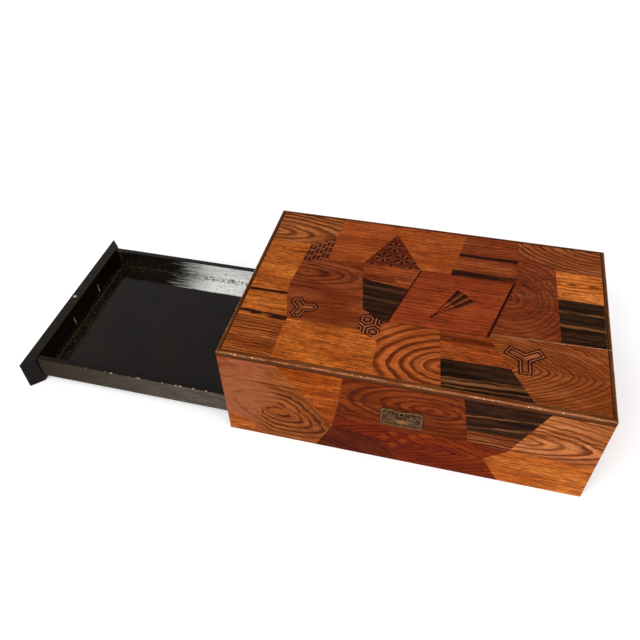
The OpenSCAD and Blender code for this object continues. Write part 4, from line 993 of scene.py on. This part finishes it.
def hemp_leaves():
    """Six-petalled stars side by side, each petal a dark kite between light rays."""
    pieces = []

    def petal_half(middle, ray, side):
        def at(radius, angle, off=0.0):
            return polar(radius, ray + side * angle, middle, side * off)

        inner, wide, tip, corner = at(1.0, 0), at(6.5, 0, 1.9), at(12.6, 0), at(13.8, 0)
        edge = [at(r, 30, -0.4) for r in (1.9, 6, 11.95)]
        core = [at(r, 30) for r in (0.8, 10, 11.95)]
        beside = at(10, 30, -0.4)
        for wood_name, shape in (("dark", [inner, wide, tip]),
                                 ("ground", [inner, edge[0], edge[1], wide]),
                                 ("ground", [wide, edge[1], edge[2], corner, tip]),
                                 ("line", [core[0], core[1], beside, edge[0]]),
                                 ("ground", [core[1], core[2], edge[2], beside])):
            pieces.append((wood_name, shape if area(shape) > 0 else shape[::-1]))

    for i in range(-2, 3):
        for j in range(-2, 3):
            middle = (-46.5 + 23.9 * i + 12.3 * j, 85.3 + 0.6 * i - 21.6 * j)
            for k in range(6):
                for side in (1, -1):
                    petal_half(middle, 31.5 + 60 * k, side)
    return pieces


def meander():
    """Dark bars between light strips that wind up and down along each row."""
    # Each part of a cell: its wood, then from and to as shares of the cell's two sides
    cell = (("ground", 0, 1, 0, 0.1), ("line", 0, 0.42, 0.1, 0.26),
            ("slot", 0, 0.42, 0.26, 0.8), ("ground", 0, 0.42, 0.8, 1),
            ("line", 0.42, 0.54, 0.1, 1), ("slot", 0.54, 0.9, 0.1, 0.78),
            ("line", 0.54, 0.9, 0.78, 1), ("line", 0.9, 1, 0.1, 1))
    pieces = []
    for i in range(-3, 4):
        for j in range(-3, 4):
            for wood_name, a0, a1, b0, b1 in cell:
                corners = [(a0, b0), (a1, b0), (a1, b1), (a0, b1)]
                pieces.append((wood_name, [
                    (-139.5 + 10.5 * (a + i - 0.5) + 0.9 * (b + j - 0.5),
                     56.5 + 5.1 * (a + i - 0.5) + 11.9 * (b + j - 0.5)) for a, b in corners]))
    return pieces


def fan():
    """A folding fan: pleats, dark ribs and the pivot."""
    pivot = (14.2, -28.6)

    def sector(r0, r1, a0, a1):
        return [polar(r, a, pivot) for r, a in ((r0, a0), (r1, a0), (r1, a1), (r0, a1))]

    pieces = []
    step = (64.6 - 33.3) / 6
    for i in range(6):
        start = 33.3 + i * step
        for half, wood_name in enumerate(("dark", "dark") if i % 2 else ("brown", "ground")):
            a = start + half * step / 2
            pieces.append((wood_name, sector(31, 56.5, a, a + step / 2)))
        if i % 2:
            middle = start + step / 2
            pieces.append(("dark", [polar(r, middle + a, pivot) for r, a in (
                (3, -9), (31, -1.7), (31, 1.7), (3, 9))]))
    pieces.append(("dark", [polar(2.2, a, pivot) for a in range(0, 360, 15)]))
    return pieces


def inlays():
    """All the patterns, each clipped to its tile's window, as flat pieces with glue between."""
    mesh = bpy.data.meshes.new("inlay_pieces")
    for name, colours in INLAY_WOODS.items():
        mesh.materials.append(wood(
            f"inlay_{name}", "top", "dark", Heart_V=400, Aspect=30, Spacing=3, Contrast=0.3,
            Seed=71.0, **dict(zip(WOOD_COLOURS, colours))))
    windows = (
        (tortoiseshell(), [(-65, -47.5), (-65, -67), (-48.5, -76), (-39.5, -69), (-39.5, -49.5),
                           (-59, -37)]),
        (hemp_leaves(), [(-79.5, 47.5), (-9, 48), (-47.5, 112)]),
        (meander(), [(-124, 86), (-153, 70), (-156, 32.5), (-124.5, 43)]),
    )
    pieces = three_arms((-134.8, -46.5), 12, 14.6, 5.2) + three_arms((119, -70.3), 33, 22.7, 0)
    pieces += fan()
    for pattern, window in windows:
        pieces += [(wood_name, clip(piece, window)) for wood_name, piece in pattern]
    # The strips round the fan's panel
    outer = [(-9, 48), (-19, 10), (-34, -47.8), (79.5, -47.8), (105, 48)]
    inner = [(-7.2, 47.4), (-17.4, 9.9), (-32.3, -47.2), (78, -47.2), (103.2, 47.4)]
    pieces += strips("dark", outer, inner)
    bm = bmesh.new()
    for wood_name, piece in pieces:
        piece = tidy(piece) if len(piece) > 2 else []
        if len(piece) < 3 or area(piece) < 0.3 * max(
                math.dist(p, q) for p in piece for q in piece):
            continue
        piece = inset(piece, GLUE)
        for face in tube(bm, [[(x, y, z) for x, y in piece] for z in (TILE_FOOT_Z, TOP_Z)]):
            face.material_index = inlay_names.index(wood_name)
    made = built(bm, mesh)
    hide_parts("top_inlays")
    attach(made, "lid")


inlays()


def open_joint():
    """The joint that has opened along the panel's lower edge and on to the right moulding."""
    bends = ((-34, -47.9), (79.5, -47.9), (84.6, -42.3), (204.4, -37.6))
    foot, top = TOP_Z - 0.3, TOP_Z + 0.02
    path = []
    for a, b in zip(bends, bends[1:]):
        count = max(2, int(math.dist(a, b) / 3))
        path += [(a[0] + (b[0] - a[0]) * i / count, a[1] + (b[1] - a[1]) * i / count)
                 for i in range(count)]
    mesh = bpy.data.meshes.new("open_joint")
    bm = bmesh.new()
    sections = []
    for i, (x, y) in enumerate(path + [bends[-1]]):
        t = i / len(path)
        y += 0.12 * math.sin(1.9 * i) * math.sin(0.4 * i)
        half = 0.07 + 0.32 * t ** 2 + 0.05 * math.sin(1.3 * i)
        sections.append([(x, y - half, foot), (x, y + half, foot), (x, y + half, top),
                         (x, y - half, top)])
    tube(bm, sections)
    material, net = shader("joint_dust", roughness=0.8, specular=0.1)
    x, y, _ = net.coordinates()
    dusty = net.mix(net.step(net.streaks(x, y, 0.15, 0.5, 3.0, 3), 0.4, 0.6), DUST, (150, 100, 72))
    net.coat(net.mix(net.step(x, 60, 100), (70, 30, 16), dusty))
    mesh.materials.append(material)
    made = built(bm, mesh)
    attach(made, "lid")


open_joint()


# Floor, world, lamps and camera

FLOOR_HALF = 3.0
FLOOR_Z = -0.0002
WORLD_LEVEL = 0.62  # the light all round; camera and reflections see 1, which is white


def floor():
    """A plain pale floor, which camera and reflections see brighter, more so far away."""
    mesh = bpy.data.meshes.new("floor")
    mesh.from_pydata([(x * FLOOR_HALF, y * FLOOR_HALF, 0) for x, y in (
        (-1, -1), (1, -1), (1, 1), (-1, 1))], [], [(0, 1, 2, 3)])
    made = place("floor", mesh)
    made.location.z = FLOOR_Z
    material, net = shader("floor_paint", roughness=0.9, specular=0.0)
    net.surface["Base Color"].default_value = (0.93, 0.93, 0.93, 1)
    net.surface["Emission Color"].default_value = (1, 1, 1, 1)
    far = net.add("VectorMath", {0: net.add("TexCoord").outputs["Object"]}, operation="LENGTH")
    level = net.step(far.outputs["Value"], 0.7, 1.8, 0.27, 0.43)
    net.put(net.surface["Emission Strength"], net.times(net.seen(), level))
    mesh.materials.append(material)


def soft_box(name, spot, aim, size, power):
    """A square lamp at a spot that shines towards another; metres and watts."""
    data = bpy.data.lights.new(name, "AREA")
    data.shape = "SQUARE"
    data.size = size
    data.energy = power
    lamp = place(name, data)
    lamp.location = spot
    lamp.rotation_euler = (Vector(aim) - Vector(spot)).to_track_quat("-Z", "Y").to_euler()


def world():
    """The same light from all round."""
    made = bpy.data.worlds.new("studio")
    bpy.context.scene.world = made
    made.use_nodes = True
    made.node_tree.nodes.clear()
    net = Net(made.node_tree)
    strength = net.scaled(net.seen(), 1 - WORLD_LEVEL, WORLD_LEVEL)
    sky = net.add("Background", {"Color": (1, 1, 1, 1), "Strength": strength})
    net.add("OutputWorld", {"Surface": sky.outputs[0]})


world()
floor()
soft_box("key", (-0.9, -1.5, 1.7), (-0.1, 0, 0.05), size=1.2, power=26)
soft_box("fill", (1.5, -0.9, 1.3), (0, 0, 0.05), size=1.2, power=10)

# The camera stands where the photo's did, as solved from the desk's corners
camera = place("camera", bpy.data.cameras.new("camera"))
camera.data.lens = 36.27
camera.data.sensor_width = 36
camera.data.clip_start = 0.01
camera.matrix_world = (
    Matrix.Translation((0.0284, -0.5603, 0.6698))
    @ Matrix.Rotation(math.radians(15.43), 4, "Z")
    @ Matrix.Rotation(math.radians(44.49), 4, "X")
    @ Matrix.Rotation(math.radians(-1.87), 4, "Z"))
bpy.context.scene.camera = camera
bpy.context.scene.view_settings.view_transform = "Standard"
